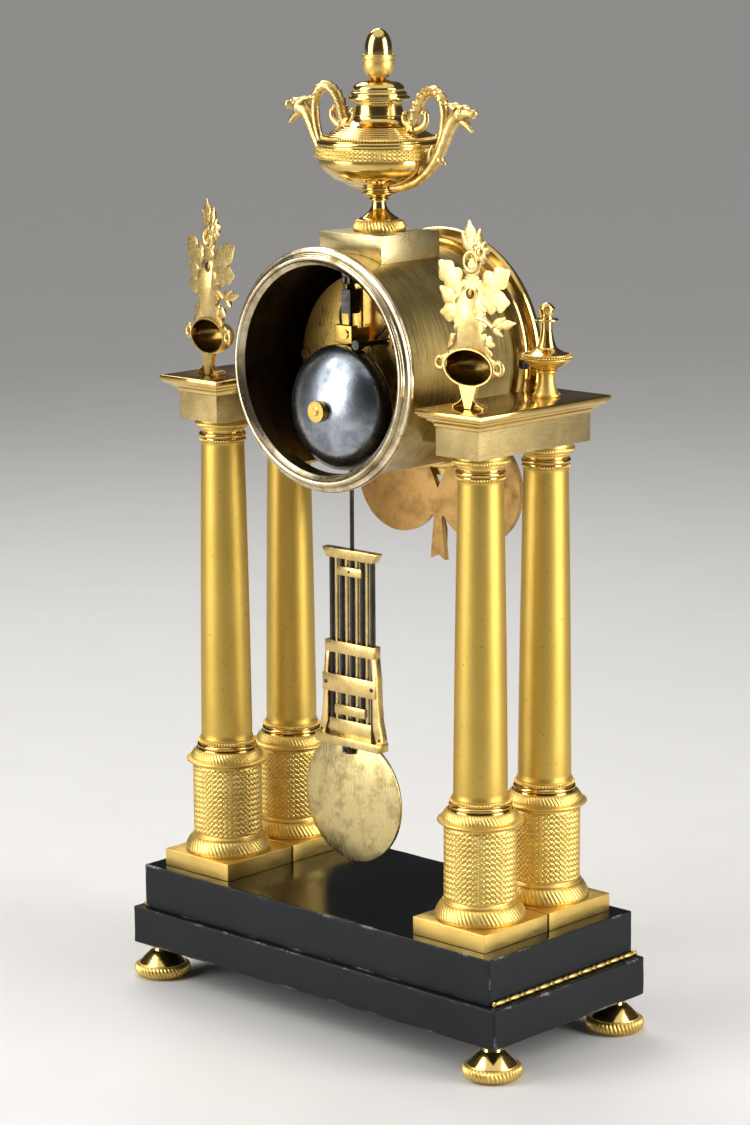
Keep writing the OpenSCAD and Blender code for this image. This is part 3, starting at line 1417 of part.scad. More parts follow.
module gridiron_rods() {
    rod_bottom = grid_sill + sill_h;
    color(steel) for (i = [-4:4]) translate([i * grid_pitch, pendulum_y, rod_bottom])
        cylinder(r = grid_rod_r, h = grid_top - top_bar_h - rod_bottom);
}

// Brass frame: top bar, cross bars drilled for the rods, flared cheeks, plates and sill
module gridiron_frame() {
    mid_z = grid_top - 51;
    mid_h = 6;
    cheek_w = 3;
    foot_half = grid_half + 8;
    waist_half = grid_half + 2.5;
    back_y = pendulum_y + grid_rod_r + 0.2;
    plate_d = 1.2;
    hook_w = 5;
    module bar(z, h, half) {
        box(-half, half, pendulum_y - bar_d / 2, pendulum_y + bar_d / 2, z, z + h);
    }
    module plate(z, h, half) {
        box(-half, half, back_y, back_y + plate_d, z, z + h);
    }
    color(pale_brass) difference() {
        union() {
            translate([0, pendulum_y + bar_d / 2, grid_top - top_bar_h]) rotate([90, 0, 0])
                linear_extrude(bar_d) polygon([[-grid_half - 1.5, 0], [grid_half + 1.5, 0],
                    [grid_half + 3.8, top_bar_h], [-grid_half - 3.8, top_bar_h]]);
            bar(mid_z, mid_h, waist_half);
            bar(grid_sill, sill_h, foot_half);
            bar(grid_sill + 9, 4, grid_half + 3);
            for (s = [-1, 1]) translate([0, pendulum_y + bar_d / 2, 0]) rotate([90, 0, 0])
                linear_extrude(bar_d) polygon([[s * (waist_half - 0.4), mid_z],
                    [s * waist_half, mid_z + mid_h], [s * (waist_half + 0.6), mid_z - 14],
                    [s * (waist_half + 2.2), grid_sill + 18], [s * foot_half, grid_sill + 2],
                    [s * (foot_half - cheek_w), grid_sill], [s * (waist_half + 0.4), grid_sill + 14]]);
            plate(mid_z - 21, 9.5, waist_half + 1.2);
            plate(mid_z - 33, 4, grid_half - 3);
            plate(grid_top - 13, 4, grid_half - 4);
            plate(grid_sill + 1, mid_z - grid_sill - 2, hook_w / 2);
            plate(grid_top - 14, 10, hook_w / 2);
        }
        for (i = [-4:4]) translate([i * grid_pitch, pendulum_y, grid_sill + sill_h])
            cylinder(r = grid_rod_r + fit_gap, h = grid_top - grid_sill - sill_h - top_bar_h);
        translate([0, pendulum_y, grid_top - 3]) cylinder(r = pendulum_rod_r + fit_gap, h = 10);
        bob_lens(fit_gap);
    }
}

// The bob's lens, grown by a gap where the frame is cut for it
module bob_lens(gap) {
    steps = 8;
    function half_t(t) = gap + bob_edge / 2 + (bob_t - bob_edge) / 2 * (1 - t * t);
    back = [for (i = [0:steps]) [(bob_r + gap) * i / steps, pendulum_y + half_t(i / steps)]];
    front = [for (i = [steps:-1:0]) [(bob_r + gap) * i / steps, pendulum_y - half_t(i / steps)]];
    turned_y(concat(front, back), 0, bob_z - axis_z);
}

module pendulum_bob() {
    color(brass) bob_lens(0);
}

lower_plinth();
upper_slab();
base_moulding();
feet();
column_plinths();
column_pedestals();
front_left_column();
front_right_column();
back_left_column();
back_right_column();
column_capitals();
column_tie_rods();
left_entablature();
right_entablature();
left_flower_vase();
right_flower_vase();
front_finials();
drum_case();
back_bezel();
front_bezel();
bezel_door();
door_glass();
garland_mount();
drum_brackets();
screws_and_pins();
urn_block();
urn_foot();
urn_body();
urn_cover();
acorn_finial();
left_urn_handle();
right_urn_handle();
dial();
front_plate();
back_plate();
plate_pillars();
going_barrel();
going_second_wheel();
centre_wheel();
third_wheel();
escape_wheel();
anchor_and_crutch();
minute_hand();
minute_wheel();
hour_hand();
strike_barrel();
count_wheel();
pin_wheel();
fly();
hammer();
bell();
bell_stand();
suspension();
pendulum_rod();
gridiron_rods();
gridiron_frame();
pendulum_bob();
going_winding_arbor();
strike_winding_arbor();
mainsprings();
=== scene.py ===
"""Portico clock: a drum movement between gilt columns on a black marble base, built around its CAD frame."""
import json
import math

import bmesh
import bpy
from mathutils import Matrix, Vector, noise


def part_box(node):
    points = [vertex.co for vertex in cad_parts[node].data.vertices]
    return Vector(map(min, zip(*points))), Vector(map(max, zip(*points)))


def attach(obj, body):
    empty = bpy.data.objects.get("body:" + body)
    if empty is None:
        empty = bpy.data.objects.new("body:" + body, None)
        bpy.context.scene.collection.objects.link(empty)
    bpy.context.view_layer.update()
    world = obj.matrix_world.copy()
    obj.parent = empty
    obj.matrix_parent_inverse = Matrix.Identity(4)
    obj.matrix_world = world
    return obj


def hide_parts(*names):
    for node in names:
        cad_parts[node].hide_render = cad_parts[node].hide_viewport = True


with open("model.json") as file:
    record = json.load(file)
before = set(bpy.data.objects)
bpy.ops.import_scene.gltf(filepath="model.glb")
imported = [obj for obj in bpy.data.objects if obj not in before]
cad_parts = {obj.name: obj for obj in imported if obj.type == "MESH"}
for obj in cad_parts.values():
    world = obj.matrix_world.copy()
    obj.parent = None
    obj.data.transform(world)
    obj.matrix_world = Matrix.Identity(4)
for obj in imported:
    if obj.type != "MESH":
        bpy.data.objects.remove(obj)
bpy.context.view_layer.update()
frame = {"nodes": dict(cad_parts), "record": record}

# Feet: four turned bronze feet, fire-gilt. A burnished cone stands on a roll that an engine-turning lathe
# has cut with slanted ribs. A stud on each foot screws up into the marble.
MM = 0.001


def span(node):
    """Lowest and highest corner of a CAD node, in mm"""
    low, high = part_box(node)
    return low / MM, high / MM


def moulding(rows, foot, steps=8):
    """Outline of a turned piece, in mm, from rows of (height, lower radius, upper radius, swell)"""
    points = []
    for height, lower, upper, swell in rows:
        count = steps if swell else 1
        for i in range(count + 1):
            t = i / count
            points.append((lower + (upper - lower) * t + 4 * swell * t * (1 - t), foot + height * t))
        foot += height
    return [p for i, p in enumerate(points) if i == 0 or math.dist(p, points[i - 1]) > 0.001]


def lathe(outline, centre=(0.0, 0.0, 0.0), turns=96, lying=False, closed=False):
    """Turns (radius, height) points about an upright axis, or about one along Y where the piece is lying"""
    verts, faces, uvs, rings = [], [], [], []
    run = [0.0]
    for a, b in zip(outline, outline[1:] + outline[:1]):
        run.append(run[-1] + math.dist(a, b))
    for r, h in outline:
        count = 1 if r < 0.001 else turns
        rings.append((len(verts), count))
        for j in range(count):
            turn = 2 * math.pi * j / turns
            x, y = r * math.cos(turn), r * math.sin(turn)
            verts.append(Vector((x, h, -y) if lying else (x, y, h)) + Vector(centre))
    girth = 2 * math.pi * max(r for r, h in outline)
    pairs = list(zip(rings, rings[1:] + rings[:1]))
    for k, ((a, na), (b, nb)) in enumerate(pairs if closed else pairs[:-1]):
        if na == nb == 1:
            continue
        for j in range(turns):
            n = (j + 1) % turns
            corners = [(a + j % na, j, k), (a + n % na, j + 1, k), (b + n % nb, j + 1, k + 1),
                       (b + j % nb, j, k + 1)]
            if na == 1:
                corners.pop(1)
            elif nb == 1:
                corners.pop(3)
            faces.append([c[0] for c in corners])
            uvs.append([(girth * c[1] / turns, run[c[2]]) for c in corners])
    for (first, count), up in ((rings[0], False), (rings[-1], True)):
        if count > 1 and not closed:
            ring = list(range(first, first + count))
            faces.append(ring if up else ring[::-1])
            uvs.append([(verts[i].x, verts[i].y) for i in faces[-1]])
    return verts, faces, uvs


def smooth(mesh, sharp):
    mesh.polygons.foreach_set("use_smooth", [True] * len(mesh.polygons))
    mesh.set_sharp_from_angle(angle=math.radians(sharp))


def piece(name, shapes, finish, sharp=38):
    """One object at the origin from shapes in mm, with outward faces and edges kept sharp past an angle"""
    verts, faces, uvs = [], [], []
    for shape in shapes:
        faces += [[len(verts) + i for i in face] for face in shape[1]]
        verts += shape[0]
        plan = [[(verts[i].x, verts[i].y) for i in face] for face in faces[len(uvs):]]
        uvs += shape[2] if len(shape) > 2 else plan
    mesh = bpy.data.meshes.new(name)
    mesh.from_pydata([Vector(v) * MM for v in verts], [], faces)
    layer = mesh.uv_layers.new(name="surface_mm")
    layer.data.foreach_set("uv", [c for face in uvs for corner in face for c in corner])
    shell = bmesh.new()
    shell.from_mesh(mesh)
    bmesh.ops.remove_doubles(shell, verts=shell.verts, dist=0.002 * MM)
    bmesh.ops.recalc_face_normals(shell, faces=shell.faces)
    shell.to_mesh(mesh)
    shell.free()
    mesh.materials.append(finish)
    smooth(mesh, sharp)
    made = bpy.data.objects.new(name, mesh)
    bpy.context.scene.collection.objects.link(made)
    return made


def linear(colour):
    """Linear colour of an sRGB hex value"""
    parts = [int(colour[i:i + 2], 16) / 255 for i in (1, 3, 5)]
    return [p / 12.92 if p <= 0.04045 else ((p + 0.055) / 1.055) ** 2.4 for p in parts] + [1.0]


def wire(tree, node, sockets):
    """Sets sockets by key or in order: a value, a hex colour, an output, or a node for its first output"""
    for key, value in sockets.items() if isinstance(sockets, dict) else enumerate(sockets):
        if isinstance(value, bpy.types.Node):
            value = next(output for output in value.outputs if output.enabled)
        if isinstance(value, bpy.types.NodeSocket):
            tree.links.new(value, node.inputs[key])
        else:
            node.inputs[key].default_value = linear(value) if isinstance(value, str) else value
    return node


def add(tree, kind, sockets=(), **settings):
    """Adds one node, a shader's unless its kind says otherwise: its settings, then its sockets"""
    made = tree.nodes.new(kind if "Node" in kind else f"ShaderNode{kind}")
    for key, value in settings.items():
        setattr(made, key, value)
    return wire(tree, made, sockets)


def shader(name):
    """A new material, its node tree, its surface and where on the object a point lies"""
    made = bpy.data.materials.new(name)
    made.use_nodes = True
    tree = made.node_tree
    return made, tree, tree.nodes["Principled BSDF"], add(tree, "TexCoord").outputs["Object"]


def metal(name, bright, tarnish, rough, blotch=14.0, grain=0.6, stretch=(1, 1, 1), relief=0.02, stain=0.5,
          scratches=0.0):
    """A worn metal: tarnish in blotches, a grain sized in mm that also sets its gloss, and scratches"""
    made, tree, surface, place = shader(name)
    cloud = add(tree, "TexNoise", {"Vector": place, "Scale": 1 / (blotch * MM), "Detail": 5.0,
                                   "Roughness": 0.62})
    worn = add(tree, "MapRange", [cloud, 0.42, 0.72, 0.0, stain])
    along = add(tree, "Mapping", {"Vector": place, "Scale": [s / (grain * MM) for s in stretch]})
    fine = add(tree, "TexNoise", {"Vector": along, "Scale": 1.0, "Detail": 3.0})
    tone = add(tree, "Mix", {0: worn, 6: bright, 7: tarnish}, data_type="RGBA")
    gloss = add(tree, "MapRange", [fine, 0.25, 0.75, rough * 0.72, rough * 1.35])
    dull = add(tree, "Math", [worn, 0.22, gloss], operation="MULTIPLY_ADD")
    height = fine
    if scratches:
        tilt = add(tree, "Mapping", {"Vector": place, "Rotation": (0.5, 0.9, 0.7),
                                     "Scale": [1 / (size * MM) for size in (0.35, 22, 0.5)]})
        hair = add(tree, "TexNoise", {"Vector": tilt, "Scale": 1.0, "Detail": 2.0})
        height = add(tree, "Math", [fine, add(tree, "MapRange", [hair, 0.60, 0.68, 0.0, scratches])],
                     operation="SUBTRACT")
    bump = add(tree, "Bump", {"Height": height, "Strength": 1.0, "Distance": relief * MM})
    wire(tree, surface, {"Base Color": tone, "Roughness": dull, "Normal": bump, "Metallic": 1.0})
    return made


# Burnished fire gilding: a deep yellow mirror, clouded where hands and polish have thinned the gold
burnished_gilt = metal("burnished_fire_gilding", "#DFBF72", "#A58748", 0.13, 18, 0.9, relief=0.004,
                       stain=0.45)
# Engine-turned gilding keeps its first bright yellow in the cuts and scatters the light between them
turned_gilt = metal("engine_turned_gilding", "#E6C773", "#BC9A50", 0.38, 9, 0.35, relief=0.03, stain=0.55)


def node_tree(name, **inputs):
    """A new Geometry Nodes tree with named inputs, and what those give inside it"""
    tree = bpy.data.node_groups.new(name, "GeometryNodeTree")
    for key, kind in {"geometry": "Geometry", **inputs, "finish": "Material"}.items():
        tree.interface.new_socket(key.title(), in_out="INPUT", socket_type=f"NodeSocket{kind}")
    tree.interface.new_socket("Geometry", in_out="OUTPUT", socket_type="NodeSocketGeometry")
    return tree, add(tree, "NodeGroupInput").outputs


def engine_turning():
    """Node tree that raises a basket weave, or slanted ribs, on a turned surface between two heights"""
    tree, given = node_tree("engine_turning", axis="Vector", cells="Float", rise="Float", low="Float",
                            high="Float", depth="Float", ribs="Float")
    spot = add(tree, "GeometryNodeInputPosition")
    at = add(tree, "VectorMath", [spot, given["Axis"]], operation="SUBTRACT")
    x, y, z = add(tree, "SeparateXYZ", [at]).outputs
    made = {"x": x, "y": y, "z": z, "cells": given["Cells"], "rise": given["Rise"], "low": given["Low"],
            "high": given["High"], "ribs": given["Ribs"], "depth": given["Depth"]}
    for name, operation, *values in (
            ("turn", "ARCTAN2", "y", "x"), ("share", "DIVIDE", "cells", 2 * math.pi),
            ("around", "MULTIPLY", "turn", "share"), ("above", "SUBTRACT", "z", "low"),
            ("below", "SUBTRACT", "high", "z"), ("rows", "DIVIDE", "above", "rise"),
            ("right", "ADD", "around", "rows"), ("left", "SUBTRACT", "around", "rows"),
            ("right_cell", "FLOOR", "right"), ("left_cell", "FLOOR", "left"),
            ("cell", "ADD", "right_cell", "left_cell"), ("over", "FLOORED_MODULO", "cell", 2.0),
            ("right_part", "FRACT", "right"), ("right_arch", "MULTIPLY", "right_part", math.pi),
            ("right_ridge", "SINE", "right_arch"), ("left_part", "FRACT", "left"),
            ("left_arch", "MULTIPLY", "left_part", math.pi), ("left_ridge", "SINE", "left_arch"),
            ("lead", "DIVIDE", 4.0, "rise"), ("edge_low", "MULTIPLY", "above", "lead"),
            ("edge_high", "MULTIPLY", "below", "lead"), ("inside", "MULTIPLY", "edge_low", "edge_high"),
            ("most", "MULTIPLY", "inside", "depth")):
        made[name] = add(tree, "Math", [made.get(v, v) for v in values], operation=operation,
                         use_clamp=name.startswith("edge"))
    weave = add(tree, "Mix", {0: made["over"], 2: made["right_ridge"], 3: made["left_ridge"]})
    height = add(tree, "Mix", {0: made["ribs"], 2: weave, 3: made["right_ridge"]})
    rise = add(tree, "Math", [height, made["most"]], operation="MULTIPLY")
    out = add(tree, "GeometryNodeInputNormal")
    push = add(tree, "VectorMath", {0: out, "Scale": rise}, operation="SCALE")
    moved = add(tree, "GeometryNodeSetPosition", {"Geometry": given["Geometry"], "Offset": push})
    whole = add(tree, "GeometryNodeRealizeInstances", [moved])
    coat = add(tree, "GeometryNodeSetMaterial", {"Geometry": whole, "Material": given["Finish"]})
    add(tree, "NodeGroupOutput", [coat])
    return tree


ENGINE_TURNING = engine_turning()


def worked(made, tree, **sizes):
    """Puts a node tree on a piece, its inputs set by name through their identifiers"""
    modifier = made.modifiers.new(tree.name, "NODES")
    modifier.node_group = tree
    sockets = {s.name: s.identifier for s in tree.interface.items_tree if s.in_out == "INPUT"}
    for name, value in sizes.items():
        modifier[sockets[name.title()]] = value
    return made


def turned(made, low, high, cells, rise, depth, ribs=1.0, axis=(0.0, 0.0, 0.0), finish=turned_gilt):
    """Engine-turns a piece between two heights, in mm: slanted ribs, or a weave where ribs is 0"""
    return worked(made, ENGINE_TURNING, axis=[c * MM for c in axis], cells=float(cells), rise=rise * MM,
                  low=low * MM, high=high * MM, depth=depth * MM, ribs=ribs, finish=finish)


def settled(made, sharp=38):
    """Turns a piece's node trees and modifiers into plain mesh"""
    ready = made.evaluated_get(bpy.context.evaluated_depsgraph_get())
    mesh = bpy.data.meshes.new_from_object(ready)
    made.modifiers.clear()
    made.data = mesh
    smooth(mesh, sharp)
    return made


def refinished(made, finish, chosen):
    """Gives another finish to the faces that are chosen by their middle, in mm, and their normal"""
    if finish.name not in made.data.materials:
        made.data.materials.append(finish)
    slot = made.data.materials.find(finish.name)
    for face in made.data.polygons:
        if chosen(face.center / MM, face.normal):
            face.material_index = slot
    return made


def seated(made, *nodes, body="case", slot="gilt_bronze"):
    """The piece rides on a body and stands for its CAD nodes; the slot it is given is not used"""
    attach(made, body)
    if nodes:
        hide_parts(*nodes)
    return made


feet_high = span("feet")[1]
foot_r, rib_low, rib_high = 14.6, 1.0, 7.0
foot_rows = [(0.9, 11.8, 12.6, 0.0), (6.2, 12.6, 12.8, 1.5), (0.5, 12.6, 12.4, 0.0), (6.6, 12.2, 5.6, 0.25),
             (2.4, 5.4, 4.8, -0.15), (1.6, 4.8, 5.9, -0.2)]
for side, left in ((-1, "left"), (1, "right")):
    for depth, front in ((-1, "front"), (1, "back")):
        axis = (side * (feet_high.x - foot_r), depth * (feet_high.y - foot_r), 0.0)
        foot = piece(f"foot_{front}_{left}", [lathe(moulding(foot_rows, 0.0, 14), axis, 264)], turned_gilt)
        settled(turned(foot, rib_low, rib_high, 44, 5.0, 0.75, axis=axis))
        seated(refinished(foot, burnished_gilt, lambda middle, normal: middle.z > rib_high + 0.4), "feet")

# Base: two slabs of black marble bedded one on the other. Their sides are honed, the upper face is polished,
# and the edges have been knocked pale along their length.


def worn_block(low, high, radius, pitch=4.0, wear=0.0, seed=0.0):
    """A block with rounded edges, whose radius wanders as a worn edge's does where there is wear"""
    verts, faces, knots, rounded = [], [], [], []
    for a, b in zip(low, high):
        count = max(1, round((b - a - 2 * radius) / pitch))
        step = (b - a - 2 * radius) / count
        knots.append([a, a + radius * 0.5] + [a + radius + step * i for i in range(count)]
                     + [b - radius, b - radius * 0.5, b])
    for k in range(3):
        u, v = (k + 1) % 3, (k + 2) % 3
        across = len(knots[v])
        for end in (low[k], high[k]):
            first = len(verts)
            for a in knots[u]:
                for b in knots[v]:
                    spot = Vector((0, 0, 0))
                    spot[k], spot[u], spot[v] = end, a, b
                    verts.append(spot)
            for i in range(len(knots[u]) - 1):
                for j in range(across - 1):
                    c = first + i * across + j
                    faces.append([c, c + across, c + across + 1, c + 1])
    for spot in verts:
        chip = noise.noise(spot / 9 + Vector((seed, 0, 0)))
        chip += 0.6 * noise.noise(spot / 2.5 + Vector((0, seed, 0)))
        r = radius * (1 - wear + wear * max(0.1, 0.8 + 0.9 * chip))
        core = Vector([min(max(spot[k], low[k] + r), high[k] - r) for k in range(3)])
        out = spot - core
        rounded.append(core + out.normalized() * r if out.length > 1e-6 else spot)
    return rounded, faces


def marble(name, gloss):
    """Black marble: near black with a blue cast, faint grey clouds, pale bruises where edges were knocked"""
    made, tree, surface, place = shader(name)
    cloud = add(tree, "TexNoise", {"Vector": place, "Scale": 1 / (45 * MM), "Detail": 7.0, "Roughness": 0.65})
    shade = add(tree, "Mix", {0: add(tree, "MapRange", [cloud, 0.3, 0.75]), 6: "#050608", 7: "#0F1317"},
                data_type="RGBA")
    speck = add(tree, "TexNoise", {"Vector": place, "Scale": 1 / (1.6 * MM), "Detail": 4.0, "Roughness": 0.7})
    edge = add(tree, "Attribute", attribute_name="edge").outputs["Fac"]
    rub = add(tree, "Math", [edge, speck], operation="MULTIPLY")
    pale = add(tree, "MapRange", [rub, 0.30, 0.52, 0.0, 0.8])
    tone = add(tree, "Mix", {0: pale, 6: shade, 7: "#9C9D99"}, data_type="RGBA")
    dust = add(tree, "MapRange", [speck, 0.3, 0.8, gloss * 0.8, gloss * 1.35])
    bump = add(tree, "Bump", {"Height": speck, "Distance": 0.02 * MM})
    wire(tree, surface, {"Base Color": tone, "Roughness": dust, "Normal": bump, "IOR": 1.5,
                         "Specular IOR Level": 0.28})
    return made


honed_marble = marble("honed_black_marble", 0.46)
polished_marble = marble("polished_black_marble", 0.13)
for name, radius, seed, rubbed in (("lower_plinth", 0.9, 3.0, 0.6), ("upper_slab", 0.6, 8.0, 0.35)):
    low, high = span(name)
    block = piece(f"marble_{name}", [worn_block(low, high, radius, 3.0, 0.7, seed)], honed_marble, sharp=60)
    near = block.data.attributes.new("edge", "FLOAT", "POINT")
    middle, half = (low + high) / 2, (high - low) / 2
    for i, vertex in enumerate(block.data.vertices):
        gaps = sorted(half[k] - abs(vertex.co[k] / MM - middle[k]) for k in range(3))
        knocked = 0.55 + 0.9 * noise.noise(vertex.co / (14 * MM) + Vector((seed, 0, 0)))
        near.data[i].value = max(0.0, 1 - (gaps[0] + gaps[1]) / 2.8) * min(1.0, max(rubbed, knocked))
    if name == "upper_slab":
        refinished(block, polished_marble, lambda middle, normal: normal.z > 0.98)
    seated(block, name, slot="black_marble")

# Base moulding: thin gilt bead-and-reel rods laid in the step between the slabs, along the front and both
# sides but not the back. Each is a turned wire, pinned to the marble.


def coated(tree, given, *shapes):
    """Ends a tree: coats what it made, joins that to what came in and makes it real"""
    both = add(tree, "GeometryNodeJoinGeometry", [given["Geometry"]])
    for shape in shapes:
        coat = add(tree, "GeometryNodeSetMaterial", {"Geometry": shape, "Material": given["Finish"]})
        wire(tree, both, [coat])
    add(tree, "NodeGroupOutput", [add(tree, "GeometryNodeRealizeInstances", [both])])
    return tree


def bead_and_reel():
    """Node tree that adds a turned rod from one point to another, its radius a run of beads and long reels"""
    tree, given = node_tree("bead_and_reel", start="Vector", end="Vector", reels="Float", radius="Float")
    line = add(tree, "GeometryNodeCurvePrimitiveLine", {"Start": given["Start"], "End": given["End"]})
    count = add(tree, "Math", [given["Reels"], 24.0, 1.0], operation="MULTIPLY_ADD")
    fine = add(tree, "GeometryNodeResampleCurve", {"Curve": line, "Count": count})
    reel = add(tree, "Math", [add(tree, "GeometryNodeSplineParameter"), given["Reels"]], operation="MULTIPLY")
    shape = add(tree, "FloatCurve", {"Value": add(tree, "Math", [reel], operation="FRACT")})
    bends = shape.mapping.curves[0].points
    bends[0].location, bends[1].location = (0.0, 0.62), (1.0, 0.62)
    for spot in ((0.05, 1.0), (0.1, 0.52), (0.16, 0.56), (0.5, 0.86), (0.84, 0.56), (0.9, 0.52), (0.95, 1.0)):
        bends.new(*spot)
    shape.mapping.update()
    swelling = add(tree, "GeometryNodeSetCurveRadius", {"Curve": fine, "Radius": shape})
    ring = add(tree, "GeometryNodeCurvePrimitiveCircle", {"Resolution": 20, "Radius": given["Radius"]})
    thick = add(tree, "GeometryNodeInputRadius")
    return coated(tree, given, add(tree, "GeometryNodeCurveToMesh", {
        "Curve": swelling, "Profile Curve": ring, "Scale": thick, "Fill Caps": True}))


BEAD_AND_REEL = bead_and_reel()
low, high = span("base_moulding")
rod_r, rod_z, reel_pitch = (high.z - low.z) / 2, (low.z + high.z) / 2, 11.0
left, right, near, far = low.x + rod_r, high.x - rod_r, low.y + rod_r, high.y - 0.2
corners = [Vector((x, y, rod_z)) for x, y in ((left, far), (left, near), (right, near), (right, far))]
rods = piece("base_moulding_rods", [], burnished_gilt)
for start, end in zip(corners, corners[1:]):
    worked(rods, BEAD_AND_REEL, start=list(start * MM), end=list(end * MM),
           reels=float(round((end - start).length / reel_pitch)), radius=rod_r * MM, finish=turned_gilt)
seated(settled(rods), "base_moulding")

# Column plinths: four square bronze blocks standing on the slab, gilt, their sides drawn with a fine file so
# that they keep an upright grain. A tie rod from the base passes through each.
COLUMNS = {name: (span(name)[0] + span(name)[1]) / 2 for name in
           ("front_left_column", "front_right_column", "back_left_column", "back_right_column")}
# Filed gilding: yellow, with fine upright strokes that spread each highlight sideways
filed_gilt = metal("filed_gilding", "#E2C06C", "#BC9A52", 0.36, 16, 0.45, (0.05, 0.05, 1), 0.008, 0.4, 0.1)
low, high = span("column_plinths")
half = high.x - max(spot.x for spot in COLUMNS.values())
blocks = [worn_block((spot.x - half, spot.y - half, low.z), (spot.x + half, spot.y + half, high.z), 0.35,
                     8.0, wear=0.3, seed=5.0) for spot in COLUMNS.values()]
seated(piece("column_plinth_blocks", blocks, filed_gilt, sharp=60), "column_plinths")

# Column pedestals: turned bronze drums, gilt after an engine-turning lathe cut a basket weave round each one.
# A milled foot and a thin lip close the weave; a burnished ring and a row of beads seat the shaft.


def bead_ring():
    """Node tree that adds a row of beads round an upright axis, or a tilted one"""
    tree, given = node_tree("bead_ring", centre="Vector", turn="Vector", ring="Float", bead="Float",
                            beads="Int")
    ring = add(tree, "GeometryNodeMeshCircle", {"Vertices": given["Beads"], "Radius": given["Ring"]})
    placed = add(tree, "GeometryNodeTransform", {"Geometry": ring, "Translation": given["Centre"],
                                                 "Rotation": given["Turn"]})
    bead = add(tree, "GeometryNodeMeshIcoSphere", {"Radius": given["Bead"], "Subdivisions": 2})
    row = add(tree, "GeometryNodeInstanceOnPoints", {"Points": placed, "Instance": bead})
    return coated(tree, given, row)


BEAD_RING = bead_ring()


def beaded(made, x, y, z, ring, bead, count, turn=0.0):
    """Adds a ring of matt gilt beads, sizes in mm"""
    return worked(made, BEAD_RING, centre=[x * MM, y * MM, z * MM], turn=[turn, 0.0, 0.0], ring=ring * MM,
                  bead=bead * MM, beads=count, finish=turned_gilt)


def total(rows):
    """Height of a moulding's rows"""
    return sum(row[0] for row in rows)


low, high = span("column_pedestals")
drum_r, weave_cells, weave_rise = 17.5, 40, 2.75
foot_rows = [(0.8, 21.7, 22.2, 0.1), (7.0, 22.2, 18.9, 0.7), (0.4, 18.3, 18.3, 0.0), (1.0, 18.5, 18.5, 0.3),
             (0.9, 17.9, drum_r, -0.1)]
head_rows = [(2.2, drum_r, 19.8, -0.7), (0.3, 20.9, 21.2, 0.0), (0.9, 21.2, 21.2, 0.15),
             (0.7, 20.9, 19.0, 0.0), (4.5, 18.9, 16.2, 0.35), (0.6, 15.6, 15.4, 0.0), (2.6, 14.7, 14.7, 1.0),
             (0.5, 14.2, 14.2, 0.0), (1.6, 14.0, 14.0, 0.1)]
weave_low, weave_high = low.z + total(foot_rows), high.z - total(head_rows)
rows_up = round((weave_high - weave_low) / weave_rise * 8)
wall = [(drum_r, weave_low + (weave_high - weave_low) * i / rows_up) for i in range(1, rows_up)]
outline = moulding(foot_rows, low.z, 12) + wall + moulding(head_rows, weave_high, 12)
ring_low, ring_high = high.z - 5.3, high.z - 1.8
for name, spot in COLUMNS.items():
    axis = (spot.x, spot.y, 0.0)
    pedestal = piece(name.replace("column", "pedestal"), [lathe(outline, axis, 8 * weave_cells)], turned_gilt)
    turned(pedestal, weave_low, weave_high, weave_cells, weave_rise, 0.55, 0.0, axis)
    turned(pedestal, low.z + 0.8, low.z + 7.8, 64, 4.0, 0.4, axis=axis)
    turned(pedestal, high.z - 9.8, ring_low, 64, 3.4, 0.4, axis=axis)
    settled(beaded(pedestal, spot.x, spot.y, high.z - 0.9, 14.5, 0.78, 60))
    refinished(pedestal, burnished_gilt, lambda middle, normal: ring_low - 0.05 < middle.z < ring_high)
    seated(pedestal, "column_pedestals")

# Column shafts: four plain tapering bronze tubes, matt gilt by pickling before the gold went on. A tie rod
# runs up each one and clamps it between pedestal and capital.


def satin_gilding():
    """Matt gilding: a soft even gold with no mirror in it, freckled where damp has reached the bronze"""
    made, tree, surface, place = shader("matt_pickled_gilding")
    cloud = add(tree, "TexNoise", {"Vector": place, "Scale": 1 / (28 * MM), "Detail": 4.0})
    freckle = add(tree, "TexNoise", {"Vector": place, "Scale": 1 / (1.3 * MM), "Detail": 3.0,
                                     "Roughness": 0.6})
    spots = add(tree, "MapRange", [freckle, 0.655, 0.70, 0.0, 0.62])
    warm = add(tree, "Mix", {0: cloud, 6: "#D2B25C", 7: "#BE9E48"}, data_type="RGBA")
    tone = add(tree, "Mix", {0: spots, 6: warm, 7: "#5B4A22"}, data_type="RGBA")
    frost = add(tree, "TexNoise", {"Vector": place, "Scale": 1 / (0.28 * MM), "Detail": 2.0})
    bump = add(tree, "Bump", {"Height": frost, "Distance": 0.03 * MM})
    dull = add(tree, "Math", [spots, 0.25, 0.44], operation="MULTIPLY_ADD")
    wire(tree, surface, {"Base Color": tone, "Roughness": dull, "Normal": bump, "Metallic": 1.0})
    return made


matt_gilt = satin_gilding()
for name, spot in COLUMNS.items():
    low, high = span(name)
    reach = (high.x - low.x) / 2
    shaft_rows = [(1.2, reach, reach, 0.15), (3.0, reach - 0.2, reach - 0.5, -0.15),
                  (high.z - low.z - 6.4, reach - 0.5, reach - 2.7, 0.25),
                  (2.2, reach - 2.7, reach - 2.5, -0.1)]
    shaft = lathe(moulding(shaft_rows, low.z, 10), (spot.x, spot.y, 0.0))
    seated(piece(name.replace("column", "shaft"), [shaft], matt_gilt), name, slot="matt_gilt")

